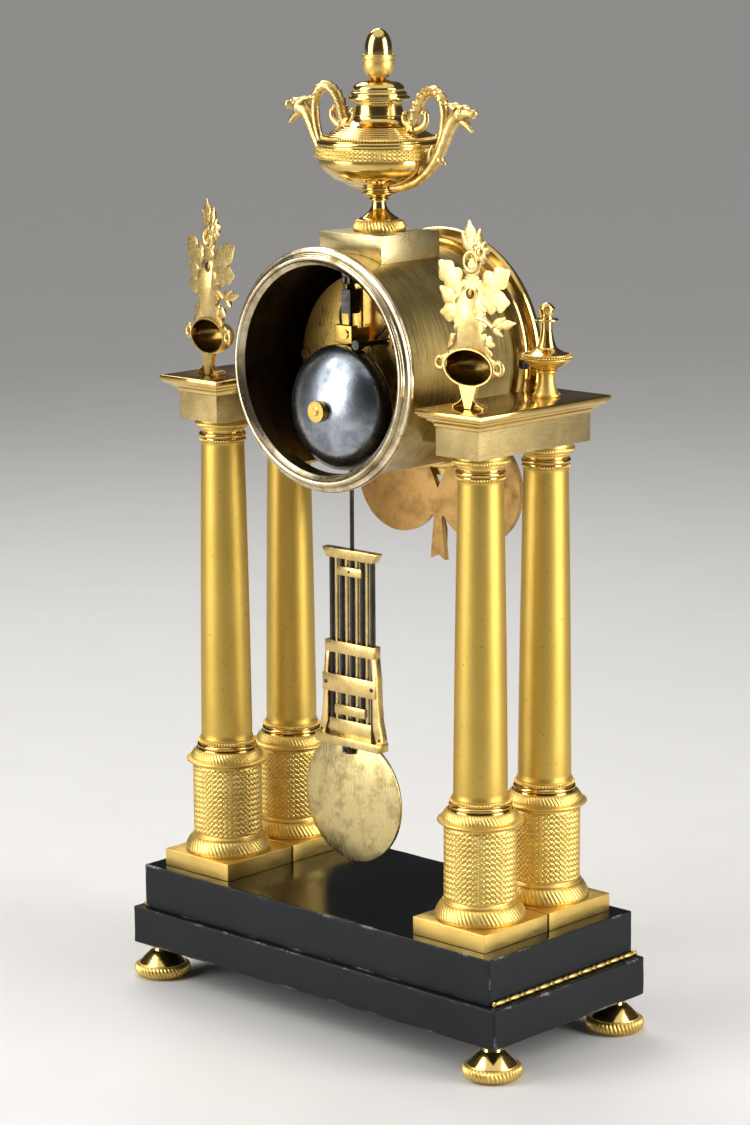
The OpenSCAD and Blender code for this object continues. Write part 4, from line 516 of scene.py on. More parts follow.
# Column capitals: turned bronze rings with a beaded astragal below, a burnished roll, and a matt milled ring
# where each meets the block above.
low, high = span("column_capitals")
cap_rows = [(1.6, 11.0, 11.0, 0.1), (0.5, 11.0, 11.0, 0.0), (2.8, 11.2, 11.2, 1.1), (0.6, 11.0, 11.0, 0.0),
            (1.8, 11.2, 12.2, -0.3), (0.5, 12.8, 12.8, 0.1), (2.6, 13.0, 13.6, 0.7)]
cap_rows.append((high.z - low.z - total(cap_rows), 12.9, 12.9, 0.0))
for name, spot in COLUMNS.items():
    axis = (spot.x, spot.y, 0.0)
    capital = piece(name.replace("column", "capital"), [lathe(moulding(cap_rows, low.z, 10), axis, 256)],
                    burnished_gilt)
    turned(capital, low.z + 7.8, low.z + 10.4, 64, 6.0, 0.4, axis=axis, finish=burnished_gilt)
    settled(beaded(capital, spot.x, spot.y, low.z + 0.9, 11.5, 0.68, 52))
    refinished(capital, turned_gilt, lambda middle, normal: middle.z > low.z + 5.6)
    seated(capital, "column_capitals")

# Entablatures: two long brass blocks, each tying a front column to a back one under a cornice planed along
# all four sides. Their gilding is thin and their outer faces are scratched down to olive brass.


def loft(rings):
    """Joins closed rings of equal count into a shell with capped ends"""
    verts = [v for ring in rings for v in ring]
    n = len(rings[0])
    faces = []
    for k in range(0, len(verts) - n, n):
        for j in range(n):
            m = (j + 1) % n
            faces.append([k + j, k + m, k + n + m, k + n + j])
    faces += [list(range(n))[::-1], [len(verts) - n + j for j in range(n)]]
    return verts, faces


def arc(centre, radii, start, end, steps):
    """Points along part of an ellipse, its angles in degrees"""
    turns = [math.radians(start + (end - start) * i / steps) for i in range(steps + 1)]
    return [(centre[0] + radii[0] * math.cos(a), centre[1] + radii[1] * math.sin(a)) for a in turns]


def bevelled(made, width, sharp=30):
    """Takes the sharpness off every hard edge"""
    modifier = made.modifiers.new("broken_edges", "BEVEL")
    modifier.width, modifier.segments, modifier.limit_method = width * MM, 2, "ANGLE"
    modifier.angle_limit = math.radians(30)
    return settled(made, sharp)


# Worn gilt brass: olive where the gold has gone, with filed strokes and a few long scratches
worn_gilt = metal("worn_gilt_brass", "#C4AC74", "#786842", 0.25, 22, 0.8, (1, 0.05, 1), 0.012, 0.75, 0.5)
for name in ("left_entablature", "right_entablature"):
    low, high = span(name)
    centre = (low + high) / 2
    cornice, top = 7.1, low.z + 13.9
    half_x, half_y = (high.x - low.x) / 2 - cornice, (high.y - low.y) / 2 - cornice
    run = [(0.0, low.z), (0.0, top)] + arc((2.2, top + 0.4), (-1.6, 2.2), 0, 90, 6)
    run += [(3.0, top + 3.2), (3.2, top + 3.9)] + arc((3.2, top + 6.3), (3.2, 2.2), -90, 0, 6)
    run += [(cornice, top + 6.5), (cornice, high.z - 0.4), (cornice - 0.5, high.z)]
    rings = [[Vector((centre.x + sx * (half_x + out), centre.y + sy * (half_y + out), z))
              for sx, sy in ((-1, -1), (1, -1), (1, 1), (-1, 1))] for out, z in run]
    block = bevelled(piece(f"{name}_block", [loft(rings)], worn_gilt), 0.22)
    seated(refinished(block, burnished_gilt, lambda middle, normal: middle.z > top + 0.3), name)

# Flower vases: two half-round castings standing on the back of the entablatures. The bowl, foot and spray
# were cast in relief and gilt; seen from behind they are hollow or filed flat. A screw through the foot holds
# each.


def swept(outline, depth, steps, squash=1.0):
    """Carries a closed (radius, height) outline half way round an upright axis that stands at a depth"""
    turns = [math.pi * (1 + i / steps) for i in range(steps + 1)]
    return loft([[Vector((r * math.cos(a), depth + r * math.sin(a) * squash, h)) for r, h in outline]
                 for a in turns])


def tube(path, radius, sides=14, deep=1.0):
    """A bar along a path, round or flattened, its radius a number or a rule of how far along it is"""
    rings = []
    for i, spot in enumerate(path):
        way = (path[min(i + 1, len(path) - 1)] - path[max(i - 1, 0)]).normalized()
        side = way.cross(Vector((0, 1, 0))).normalized()
        lift = side.cross(way).normalized()
        ring = []
        for j in range(sides):
            turn = 2 * math.pi * j / sides
            r = radius(i / (len(path) - 1), turn) if callable(radius) else radius
            ring.append(spot + side * math.cos(turn) * r + lift * math.sin(turn) * r * deep)
        rings.append(ring)
    return loft(rings)


def curve(points, steps=8):
    """A smooth path through flat points"""
    spots = [Vector(p) for p in points]
    spots = [2 * spots[0] - spots[1]] + spots + [2 * spots[-1] - spots[-2]]
    path = []
    for a, b, c, d in zip(spots, spots[1:], spots[2:], spots[3:]):
        for i in range(steps):
            t = i / steps
            path.append(0.5 * (2 * b + (c - a) * t + (2 * a - 5 * b + 4 * c - d) * t * t
                               + (3 * b - a - 3 * c + d) * t ** 3))
    return path + [spots[-2]]


def ball(centre, rx, ry, rz):
    """A bead or bud: a turned ellipsoid"""
    verts, faces, uvs = lathe(arc((0, 0), (1, 1), -90, 90, 10), turns=18)
    return [Vector((v.x * rx, v.y * ry, v.z * rz)) + Vector(centre) for v in verts], faces, uvs


def plate(outline, front, back):
    """A flat plate with an outline of (x, z) points"""
    return loft([[Vector((x, y, z)) for x, z in outline] for y in (front, back)])


def leaf(base, tip, width, lobes, front, back, place, rows=30):
    """A cast leaf: leaning lobes, a sunk midrib and a domed face; place(across, up, depth) sets it"""
    length = math.dist(base, tip)
    ux, uz = (tip[0] - base[0]) / length, (tip[1] - base[1]) / length
    marks = (-1.0, -0.72, -0.4, -0.12, 0.0, 0.12, 0.4, 0.72, 1.0)
    rings = []
    for i in range(rows + 1):
        t = i / rows
        broad = math.sin(math.pi * min(1.0, 0.06 + 0.94 * t) ** 0.9) ** 0.6 if t < 1 else 0.0
        scallop = 0.56 + 0.44 * abs(math.sin(math.pi * (lobes * t + 0.25))) ** 0.55
        w = max(0.12, width / 2 * broad * scallop)
        swell = max(0.15, math.sin(math.pi * (0.12 + 0.82 * t)))
        ring = []
        for s, side in [(s, 1) for s in marks] + [(s, -1) for s in marks[-2:0:-1]]:
            if side > 0:
                rise = front * swell * ((1 - s * s) ** 0.6 - (0.28 if abs(s) < 0.05 else 0.0))
                rise *= 1 - 0.25 * abs(math.cos(math.pi * (lobes * t + 0.25 - 0.3 * abs(s))))
            else:
                rise = -back * swell * (1 - s * s) ** 0.5
            run = length * (t + 0.09 * s * s * (1 - t))
            ring.append(place(base[0] + ux * run - uz * w * s, base[1] + uz * run + ux * w * s, -rise))
        rings.append(ring)
    return loft(rings)


# Chased gilding on a casting: bright gold, clouded browner in small patches at random over raised leaves and
# punched matt ground alike
chased_gilt = metal("chased_cast_gilding", "#E2C682", "#A08042", 0.32, 5, 1.1, relief=0.13, stain=0.6)
# The unseen hollow of a casting was never gilt: bronze, its colour darkened further as painted shade for the
# shaded inside of the bowl, glossy with lacquer
bare_bronze = metal("lacquered_bare_bronze", "#8E7038", "#3B2B16", 0.2, 10, 0.7, stain=0.8)
spray_leaves = [((0.5, 8.9), (1, 44), 23, 4), ((-4, 15), (-13.4, 9.6), 9, 2), ((6, 15), (16, 11.6), 7, 2),
                ((-4, 26), (-18.4, 25.2), 10, 2), ((-4, 28), (-19, 37.2), 10, 2),
                ((-2, 33), (-19.5, 49.6), 15, 3), ((3, 33), (25.5, 32.6), 13, 3),
                ((3, 34), (25.5, 47.6), 14, 3), ((1.5, 38), (1, 52), 11, 2), ((1.4, 53), (0.0, 70), 8, 2),
                ((3, 56), (6.8, 66.4), 5.6, 1), ((0.4, 55), (-5, 64), 5.6, 1),
                ((14, 20.6), (22.8, 25.4), 4.4, 1), ((14, 20.4), (29, 23.4), 4.8, 2),
                ((14, 20.2), (21, 16.6), 4.4, 1)]
stalk_bends = [(12.6, 5.4), (9.6, 11), (7.6, 16.5), (6.8, 22), (7.6, 28), (5.0, 34), (0.6, 39), (-4.6, 34),
               (-7.4, 28), (-6.6, 21), (-7.8, 15), (-9.4, 10), (-12.6, 5.4)]
vase_foot = [(1.6, 9.4, 9.4, 0.2), (0.6, 8.6, 8.2, 0.0), (4.2, 7.6, 3.6, -0.9), (3.2, 3.5, 3.2, -0.2),
             (1.0, 4.4, 4.4, 0.4), (1.4, 3.6, 5.2, 0.2)]
rosette, eyelet, rivet = (7.4, 55.2), (1.4, 50.4), (0.9, 35.2)
back_y, stud_y, bowl_r, bowl_rise = 34.0, 30.5, 15.5, 9.25
for name, yaw in (("left_flower_vase", 0.0), ("right_flower_vase", -12.0)):
    stand = span(name.replace("flower_vase", "entablature"))
    middle, ground = (stand[0].x + stand[1].x) / 2, stand[1].z
    bowl_z = ground + 20.05

    def spot(across, up, depth):
        return Vector((-across, back_y - 1.2 + depth, bowl_z + up))

    shapes, hollow = [], [ball(spot(*rivet, 0.2), 2.8, 1.0, 2.8)]
    for i, (base, tip, width, lobes) in enumerate(spray_leaves):
        lift = 0.5 * (i % 3)
        shapes.append(leaf(base, tip, width, lobes, 2.2 + lift, 0.4 + 0.2 * lift,
                           lambda across, up, depth: spot(across, up, depth - 0.3 * lift)))
    stalk = []
    for i, p in enumerate(curve(stalk_bends)):
        lobe = 2.4 * abs(math.sin(math.pi * i / 8)) ** 0.6
        stalk.append((p.x + math.copysign(lobe, p.x), p.y + 0.3 * lobe))
    stalk += [(bowl_r * math.sin(a / 10), bowl_rise * math.cos(a / 10)) for a in range(-9, 10)]
    shapes.append(loft([[spot(x * k, 24 + (z - 24) * k, depth) for x, z in stalk]
                        for k, depth in ((0.92, -1.9), (1.0, -1.2), (1.0, 0.1), (0.97, 0.5))]))
    twig = [spot(p.x, p.y, -0.4) for p in curve([(5, 24), (10, 23), (15, 20.2)])]
    ring = [spot(x, z, -0.5) for x, z in arc(eyelet, (4.0, 4.6), 0, 360, 24)]
    shapes += [tube(twig, 1.3, 10), tube(ring, 1.7, 10), ball(spot(*rosette, 0.1), 2.5, 2.2, 2.5)]
    for petal in arc(rosette, (6.0, 6.0), 15, 330, 7):
        shapes.append(leaf(rosette, petal, 5.6, 1, 1.8, 1.2, spot, 14))
    rim = arc((0, 0), (bowl_r, bowl_rise), -90, 90, 24)
    for group, depth, (out_r, out_z), (in_r, in_z) in ((shapes, back_y, (1.0, 1.0), (0.955, 0.93)),
                                                       (hollow, back_y - 0.25, (0.957, 0.932), (0.93, 0.9))):
        shell = [(max(r * out_r, 0.05), bowl_z + z * out_z) for r, z in rim]
        shell += [(max(r * in_r, 0.04), bowl_z + z * in_z) for r, z in rim[::-1]]
        group.append(swept(shell, depth, 40, 0.9))
    foot = moulding(vase_foot, ground)
    shapes.append(swept(foot + [(max(r - 0.5, 0.4), z) for r, z in foot[::-1]], back_y, 36))
    strip = [(-1.9, ground + 0.4), (1.9, ground + 0.4), (5.6, ground + 11.6), (-5.6, ground + 11.6)]
    shapes.append(plate(strip, back_y - 2.2, back_y + 0.1))
    for side in (-1, 1):
        ring = arc((side * (bowl_r + 2.9), bowl_z + 1.0), (2.3, 2.7), 0, 360, 24)
        shapes.append(tube([Vector((x, back_y - 1.4, z)) for x, z in ring], 1.25, 10))
        web = [(-2.6, 6.2), (2.6, 4.0), (1.4, 2.2), (1.4, -0.6), (-0.9, -3.4)]
        shapes.append(plate([(side * (bowl_r + x), bowl_z + z) for x, z in web], back_y - 2.2, back_y - 0.5))
    turn, pivot = Matrix.Rotation(math.radians(yaw), 3, "Z"), Vector((0, stud_y, 0))
    for shape in shapes + hollow:
        for v in shape[0]:
            v[:] = turn @ (v - pivot) + pivot + Vector((middle, 0, 0))
    seated(piece(f"{name}_casting", shapes, chased_gilt, sharp=50), name)
    # The bowl's hollow and the screw head take the dark bronze; in the hollow its darkness is partly painted
    # shade
    seated(piece(f"{name}_hollow", hollow, bare_bronze, sharp=50), name)

# Front finials: turned gilt stands with a beaded dish, one over each front column, screwed down from above.
# They are matt up to the dish and burnished over it.
ground, top = span("left_entablature")[1].z, span("front_finials")[1].z
finial_rows = [(1.4, 6.7, 6.7, 0.2), (0.5, 6.2, 5.9, 0.0), (9.2, 5.9, 4.2, -0.8), (0.6, 4.2, 4.5, 0.0),
               (1.2, 4.9, 4.9, 0.35), (0.5, 4.4, 4.6, 0.0), (4.9, 4.8, 11.6, 1.1), (0.7, 12.4, 12.4, 0.2),
               (1.3, 11.7, 11.7, 0.0), (0.7, 12.2, 12.2, 0.2), (3.9, 11.0, 4.7, -1.5), (9.8, 4.6, 2.8, -0.5),
               (2.2, 2.8, 2.8, 0.0), (1.1, 5.5, 5.5, 0.25), (1.3, 3.1, 2.9, 0.0), (3.2, 2.9, 3.6, 0.15),
               (1.0, 3.9, 3.9, 0.2), (1.2, 3.3, 2.7, 0.2)]
finial_rows.append((top - ground - total(finial_rows), 2.6, 0.0, 0.5))
dish_z = ground + total(finial_rows[:8]) + 0.65
for side in ("left", "right"):
    spot = COLUMNS[f"front_{side}_column"]
    finial = piece(f"{side}_front_finial", [lathe(moulding(finial_rows, ground, 12), (spot.x, spot.y, 0.0))],
                   burnished_gilt)
    settled(beaded(finial, spot.x, spot.y, dish_z, 12.0, 0.66, 56))
    seated(refinished(finial, turned_gilt, lambda middle, normal: middle.z < dish_z + 1.4), "front_finials")

# Urn foot: a turned socle with an engine-turned band, drawn in to a thin stem and a pair of burnished rings.
# A rod through the urn screws it to the block below.
low, high = span("urn_foot")
socle_rows = [(0.6, 12.5, 12.9, 0.0), (5.2, 12.9, 10.6, 0.7), (0.5, 10.2, 9.8, 0.0), (7.2, 9.6, 3.7, -1.6),
              (1.6, 3.7, 3.7, -0.1), (0.9, 4.7, 4.7, 0.35), (0.4, 4.1, 4.2, 0.0), (1.7, 4.4, 7.6, 0.5),
              (1.4, 8.2, 8.2, 0.5), (0.4, 7.4, 7.4, 0.0)]
socle_rows.append((high.z - low.z - total(socle_rows), 7.6, 8.0, 0.3))
socle = piece("urn_socle", [lathe(moulding(socle_rows, low.z, 12), turns=256)], turned_gilt)
settled(turned(socle, low.z + 0.6, low.z + 5.8, 42, 4.4, 0.55))
seated(refinished(socle, burnished_gilt, lambda middle, normal: middle.z > low.z + 6.0), "urn_foot")

# Urn body: a turned bronze bowl, burnished to a red gold, with a matt herringbone frieze cut round its belly,
# a roped ring above and fine grooves on the shoulder. Cast acanthus leaves clasp it from below.
low, high = span("urn_body")
frieze_row = (6.0, 30.3, 30.6, 0.45)
body_rows = [(1.0, 8.0, 9.6, 0.2), (12.9, 9.8, 30.0, 0.0), (0.5, 30.1, 30.1, 0.0), frieze_row,
             (0.6, 30.0, 30.0, 0.0), (2.3, 30.5, 30.2, 0.5), (0.4, 29.3, 29.3, 0.0), (1.7, 28.2, 28.0, 0.3)]
body_rows += [(0.8, 26.6 - 1.42 * i, 25.5 - 1.42 * i, 0.32) for i in range(6)]
body_rows += [(5.2, 18.0, 12.7, -1.2), (0.4, 13.1, 13.1, 0.0), (5.2, 12.6, 11.6, -0.2)]
body_rows.append((high.z - low.z - total(body_rows), 11.6, 12.2, 0.1))
bowl_low, bowl_high = low.z + total(body_rows[:1]), low.z + total(body_rows[:2])
bowl_rise, bowl_foot_r, bowl_r = body_rows[1][:3]
bowl_round = math.sqrt(1 - (bowl_foot_r / bowl_r) ** 2)
bowl_line = moulding(body_rows[:1], low.z, 6)
bowl_line += [(bowl_r * math.sqrt(1 - (bowl_round * (1 - i / 30)) ** 2), bowl_low + bowl_rise * i / 30)
              for i in range(31)]
frieze_low = low.z + total(body_rows[:3])
frieze_high = frieze_low + frieze_row[0]
rope_z = low.z + total(body_rows[:7]) + 0.85


def bowl_radius(z):
    for (r0, z0), (r1, z1) in zip(bowl_line, bowl_line[1:]):
        if z0 <= z <= z1:
            return r0 + (r1 - r0) * (z - z0) / max(z1 - z0, 1e-6)
    return bowl_line[-1][0]


def clasp(turn, across, up, depth):
    """A point on the bowl's skin, or off it by a depth"""
    r = bowl_radius(low.z + up) - depth + 0.05
    return Vector((r * math.cos(turn + across / r), r * math.sin(turn + across / r), low.z + up))


outline = bowl_line + moulding(body_rows[2:3], bowl_high) + moulding([frieze_row], frieze_low, 36)
outline += moulding(body_rows[4:], frieze_high, 5)
calyx = [leaf((0, 0.4), (0, 6.4), 7.4, 2, 1.0, 0.5,
              lambda across, up, depth: clasp(math.pi * (i + 0.5) / 5, across, up, depth)) for i in range(10)]
body = piece("urn_bowl", [lathe(outline, turns=480)] + calyx, burnished_gilt, sharp=42)
turned(body, frieze_low, frieze_high, 80, 1.8, 0.46, 0.0, finish=burnished_gilt)
settled(beaded(body, 0.0, 0.0, rope_z, 28.4, 0.82, 118), 42)
refinished(body, turned_gilt, lambda middle, normal: frieze_low + 0.05 < middle.z < frieze_high - 0.05)
seated(body, "urn_body")

# Urn cover: a spun gilt lid with a broad brim, dropped into the neck and held by the acorn's thread. All of
# it is burnished.
low, high = span("urn_cover")
cover_rows = [(0.8, 14.6, 15.4, 0.15), (1.2, 15.4, 15.2, 0.2), (0.5, 14.4, 14.2, 0.0), (2.0, 14.0, 12.9, 0.5),
              (0.4, 12.3, 12.3, 0.0), (4.0, 12.6, 9.6, 1.2), (0.5, 8.8, 5.9, 0.0), (0.9, 5.7, 4.0, -0.3)]
cover_rows.append((high.z - low.z - total(cover_rows), 3.6, 3.2, 0.0))
seated(piece("urn_lid", [lathe(moulding(cover_rows, low.z, 12))], burnished_gilt), "urn_cover")

# Acorn: the turned finial that screws down on the lid. Its matt cup is edged with two fine rings, and the nut
# in it is burnished.
ground, top = span("urn_cover")[1].z, span("acorn_finial")[1].z
acorn_rows = [(7.6, 5.0, 8.0, 1.0), (0.9, 8.1, 8.1, 0.2), (0.4, 7.7, 7.7, 0.0), (2.2, 8.1, 7.9, 0.2)]
shoulder = ground + total(acorn_rows)
nut = [math.sin(math.pi * i / 40) for i in range(21)]
nut_line = [(6.9 * math.sqrt(1 - u ** 2.5), shoulder + (top - shoulder) * u) for u in nut]
acorn = piece("acorn", [lathe(moulding(acorn_rows, ground, 12) + nut_line)], turned_gilt)
seated(refinished(acorn, burnished_gilt, lambda middle, normal: middle.z > shoulder + 0.05), "acorn_finial")

# Urn handles: two castings, chased and gilt. A stem sweeps out from under the bowl and ends in an open-jawed
# beast; a scaled strap loops back from it to the shoulder. Pins in the shoulder and under the bowl hold each.
strap = [(20.5, 449), (24, 455.6), (26.6, 462.6), (31, 468), (36, 469.8), (41, 467), (43.4, 461), (43, 453),
         (41, 445.6), (38.6, 439.6)]
stem = [(8.5, 421.8), (16, 422.8), (26, 426.4), (34, 432.2), (40, 439.6), (43.8, 446.2), (46.6, 452),
        (49.8, 456.8), (54.2, 459.4), (58.8, 460.2), (62.6, 459.4)]
inner_curl = [(23, 450.6), (27.6, 451.4), (31.4, 454.4), (31.8, 458.2), (30.2, 459.4)]
outer_curl = [(22, 451.6), (18.8, 453.0), (16.8, 456.0), (17.6, 458.6)]
lower_jaw = [(52.6, 457.6), (56.2, 455.6), (59.2, 453.4), (61.4, 451.4)]
ear = [(52.6, 461.4), (49.4, 463.4), (46.2, 463.8)]


def scales(t, turn):
    """Strap radius: overlapping scales along the outer edge of the first half, then a plain thinning bar"""
    return 2.8 + (0.9 * ((t * 17) % 1.0) if math.cos(turn) > -0.2 and 0.06 < t < 0.62 else 0.0) - 0.9 * t


def ribbed(t, turn):
    """Stem radius: swelling to the beast's brow, then a muzzle; rows of scales on its outer side"""
    bare = 2.0 + 1.9 * min(t, 0.8) - 8.0 * max(0.0, t - 0.8) + 0.5 * math.exp(-((t - 0.8) / 0.05) ** 2)
    return bare + 0.4 * abs(math.sin(t * 40)) * max(0.0, -math.cos(turn)) * (1 - t)


def upright(across, up, depth):
    return Vector((across, depth, up))


def bent(points, radius, sides=12, deep=1.0, depth=0.0, steps=8):
    """A bar along a curve in the handle's plane"""
    return tube([upright(p.x, p.y, depth) for p in curve(points, steps)], radius, sides, deep)


for name, side in (("left_urn_handle", -1), ("right_urn_handle", 1)):
    shapes = [bent(strap, scales, 20, 1.05, steps=14), bent(stem, ribbed, 20, steps=12),
              bent(inner_curl, lambda t, turn: 2.1 - 0.8 * t), ball((30.2, 0, 459.2), 1.8, 2.0, 1.7),
              bent(outer_curl, lambda t, turn: 2.0 - 0.7 * t), ball((17.8, 0, 458.4), 1.6, 1.9, 1.5),
              bent(lower_jaw, lambda t, turn: 2.5 - 1.3 * t, 14, 0.9), ball((62.4, 0, 460.2), 2.2, 2.2, 1.7)]
    for half in (-1, 1):
        shapes += [ball((56.0, 2.7 * half, 461.2), 1.4, 1.0, 1.2),
                   ball((55.2, 1.9 * half, 462.8), 2.8, 1.4, 1.1),
                   bent(ear, lambda t, turn: 2.1 - 1.5 * t, 10, depth=2.2 * half),
                   leaf((25, 450), (19, 455), 4.5, 2, 1.2, 0.8,
                        lambda across, up, depth: upright(across, up, depth + 2.2 * half), 12)]
    for base, tip, width, thick in (((37, 439.4), (44.4, 434.6), 5.5, 2.2),
                                    ((27, 428.6), (31, 438), 5.0, 2.4), ((33, 434), (36, 444), 5.4, 2.2)):
        shapes.append(leaf(base, tip, width, 1, thick, thick, upright, 16))
    for shape in shapes:
        for v in shape[0]:
            v.x *= side
    seated(piece(f"{name}_casting", shapes, chased_gilt, sharp=55), name)

# Drum: a brass tube that carries the movement, drawn round and left brushed along its circumference. It sits
# between the entablatures on two brackets, a screw through each side, and is slotted below for the pendulum.
low, high = span("drum_case")
axis_z, drum_front, drum_back = (low.z + high.z) / 2, low.y, high.y
drum_r, drum_wall = (high.x - low.x) / 2, 1.4
# Old brushed brass: olive gold, streaked round the drum, brown with lacquer and handling
drum_brass, tree, surface, place = shader("brushed_drum_brass")
hub = add(tree, "VectorMath", [place, (0.0, 0.0, axis_z * MM)], operation="SUBTRACT")
x, y, z = add(tree, "SeparateXYZ", [hub]).outputs
turn = add(tree, "Math", [z, x], operation="ARCTAN2")
lay = add(tree, "CombineXYZ", [add(tree, "Math", [turn, 1.6], operation="MULTIPLY"),
                               add(tree, "Math", [y, 1 / (0.5 * MM)], operation="MULTIPLY")])
streak = add(tree, "TexNoise", {"Vector": lay, "Scale": 1.0, "Detail": 6.0, "Roughness": 0.7})
cloud = add(tree, "TexNoise", {"Vector": place, "Scale": 1 / (20 * MM), "Detail": 6.0, "Roughness": 0.65})
brown = add(tree, "MapRange", [cloud, 0.42, 0.7, 0.0, 0.7])
tone = add(tree, "Mix", {0: brown, 6: "#BBA566", 7: "#766540"}, data_type="RGBA")
light = add(tree, "MapRange", [streak, 0.3, 0.7, 0.78, 1.12])
wire(tree, surface, {
    "Base Color": add(tree, "VectorMath", {0: tone, "Scale": light}, operation="SCALE"), "Metallic": 1.0,
    "Roughness": add(tree, "MapRange", [streak, 0.3, 0.7, 0.2, 0.42]),
    "Normal": add(tree, "Bump", {"Height": streak, "Distance": 0.03 * MM})})
# Painted shade: the inside is coloured a near-black brown that stands for the shade within the drum, with the
# dull shine of old lacquer
smoked_brass = metal("smoke_browned_brass", "#4A3A22", "#17120B", 0.42, 16, stain=0.9)
slot_half, slot_front, slot_back, turns, slot_turns = 24.0, -24.0, 32.0, 192, 40
depths = [drum_front, slot_front, slot_back, drum_back]
fine = [a + (b - a) * i / 6 for a, b in zip(depths, depths[1:]) for i in range(6)] + [drum_back]
slot_turn = math.asin(slot_half / drum_r)
rims = [1.5 * math.pi + slot_turn + 2 * (math.pi - slot_turn) * j / turns for j in range(turns + 1)]
rims += [3.5 * math.pi - slot_turn + 2 * slot_turn * j / slot_turns for j in range(1, slot_turns)]
verts = [Vector((r * math.cos(a), y, axis_z + r * math.sin(a)))
         for r in (drum_r, drum_r - drum_wall) for y in fine for a in rims]
n, wall = len(rims), len(rims) * len(fine)
faces = []
for i, (a, b) in enumerate(zip(fine, fine[1:])):
    for j in range(n):
        if j < turns or not slot_front <= (a + b) / 2 <= slot_back:
            c, d = i * n + j, i * n + (j + 1) % n
            faces += [[c, d, d + n, c + n], [wall + c + n, wall + d + n, wall + d, wall + c]]
edges = dict.fromkeys(edge for face in faces for edge in zip(face, face[1:] + face[:1]))
faces += [[b, a, a + wall, b + wall] for a, b in edges if (b, a) not in edges and max(a, b) < wall]
drum = piece("drum_tube", [(verts, faces)], drum_brass)
# Painted shade: the drum's inner face takes the near-black inside colour
refinished(drum, smoked_brass, lambda middle, normal:
           math.hypot(middle.x, middle.z - axis_z) < drum_r - drum_wall + 0.1)
seated(drum, "drum_case", slot="drum_brass")

# Drum brackets: two brass saddles soldered to the drum, each screwed to the inner side of an entablature.
# Their CAD shapes show as they are.


def dressed(finish, *nodes):
    """Gives a finish to CAD nodes that show as they are"""
    for node in nodes:
        materials = frame["nodes"][node].data.materials
        materials.clear()
        materials.append(finish)


dressed(drum_brass, "drum_brackets")

# Urn block: the saddle that carries the urn, filed to the drum's curve and soldered down; its faces show the
# strokes of the file.
low, high = span("urn_block")
saddle = metal("filed_block_brass", "#B7A678", "#6C6044", 0.28, 20, 0.5, (0.06, 1, 1), 0.02, 0.7, 0.5)
half = (high.x - low.x) / 2
arch = []
for i in range(25):
    x = half * (i / 12 - 1)
    arch.append((x, axis_z + math.sqrt(drum_r ** 2 - x * x)))
block = piece("urn_saddle", [plate(arch + [(half, high.z), (-half, high.z)], low.y, high.y)], saddle)
seated(bevelled(block, 0.35), "urn_block", slot="drum_brass")

# Back bezel: a spun brass ring pressed over the back of the drum, its silvering worn to a grey sheen. A roll,
# a hollow and an inner band are turned on its face.
low, high = span("back_bezel")
outer, depth, inner = (high.x - low.x) / 2, high.y, 51.9
spun = metal("spun_silvered_brass", "#D2C4A2", "#7A5F3A", 0.2, 10, 0.5, relief=0.01, stain=0.85)
lap = drum_r - drum_wall - 0.05
ring = [(inner, low.y), (lap, low.y), (lap, drum_back), (outer - 0.9, drum_back), (outer, drum_back + 0.8),
        (outer, drum_back + 2.1), (outer - 0.5, drum_back + 2.8)]
ring += arc((outer - 1.3, drum_back + 5.3), (-2.0, 2.3), -90, 0, 8)
ring += arc((outer - 4.9, depth - 1.0), (1.3, 1.0), 0, 180, 10)
ring += [(outer - 6.4, depth - 1.4), (inner + 0.5, depth - 2.5), (inner, depth - 3.0)]
bezel = piece("back_bezel_ring", [lathe(ring, (0, 0, axis_z), 160, lying=True, closed=True)], spun)
# Painted shade: the bezel's inner band takes the drum's near-black inside colour
refinished(bezel, smoked_brass, lambda middle, normal: math.hypot(middle.x, middle.z - axis_z) < inner + 0.1)
seated(bezel, "back_bezel", slot="worn_silvered_brass")

# Front bezel: a heavy gilt ring round the dial, its collar sleeved over the drum and held by the side screws.
# Two of the hinge's knuckles are cast on it.
joints = frame["record"]["behaviour"]["joints"]
hinge = Vector(next(joint for joint in joints if joint["name"] == "door_hinge")["pos_m"]) / MM
knuckle_r, knuckle_h = 2.2, 4.4


def knuckle(middle, height):
    """One knuckle of the hinge, its ends rounded over"""
    rows = [(0.4, knuckle_r - 0.4, knuckle_r, 0.1), (height - 0.8, knuckle_r, knuckle_r, 0.0),
            (0.4, knuckle_r, knuckle_r - 0.4, 0.1)]
    return lathe(moulding(rows, middle - height / 2, 4), (hinge.x, hinge.y, 0.0), 32)


flange_r, flange_in, flange_y, collar_r, collar_y = 64.0, 50.6, drum_front - 4.0, 58.4, drum_front + 8.0
bore = drum_r + 0.05
ring = [(flange_in, flange_y), (flange_r - 0.9, flange_y), (flange_r, flange_y + 0.9),
        (flange_r, drum_front - 0.8), (flange_r - 0.6, drum_front), (collar_r + 1.4, drum_front),
        (collar_r + 0.3, drum_front + 1.2), (collar_r, drum_front + 2.6), (collar_r, collar_y - 0.6),
        (collar_r - 0.6, collar_y), (bore, collar_y), (bore, drum_front), (flange_in, drum_front)]
shapes = [lathe(ring, (0, 0, axis_z), 160, lying=True, closed=True)]
for z in (axis_z - knuckle_h - 0.3, axis_z + knuckle_h + 0.3):
    shapes += [knuckle(z, knuckle_h), worn_block((hinge.x - 6.4, flange_y, z - knuckle_h / 2),
                                                 (hinge.x + knuckle_r, drum_front, z + knuckle_h / 2), 0.3)]
seated(piece("front_bezel_ring", shapes, burnished_gilt), "front_bezel")

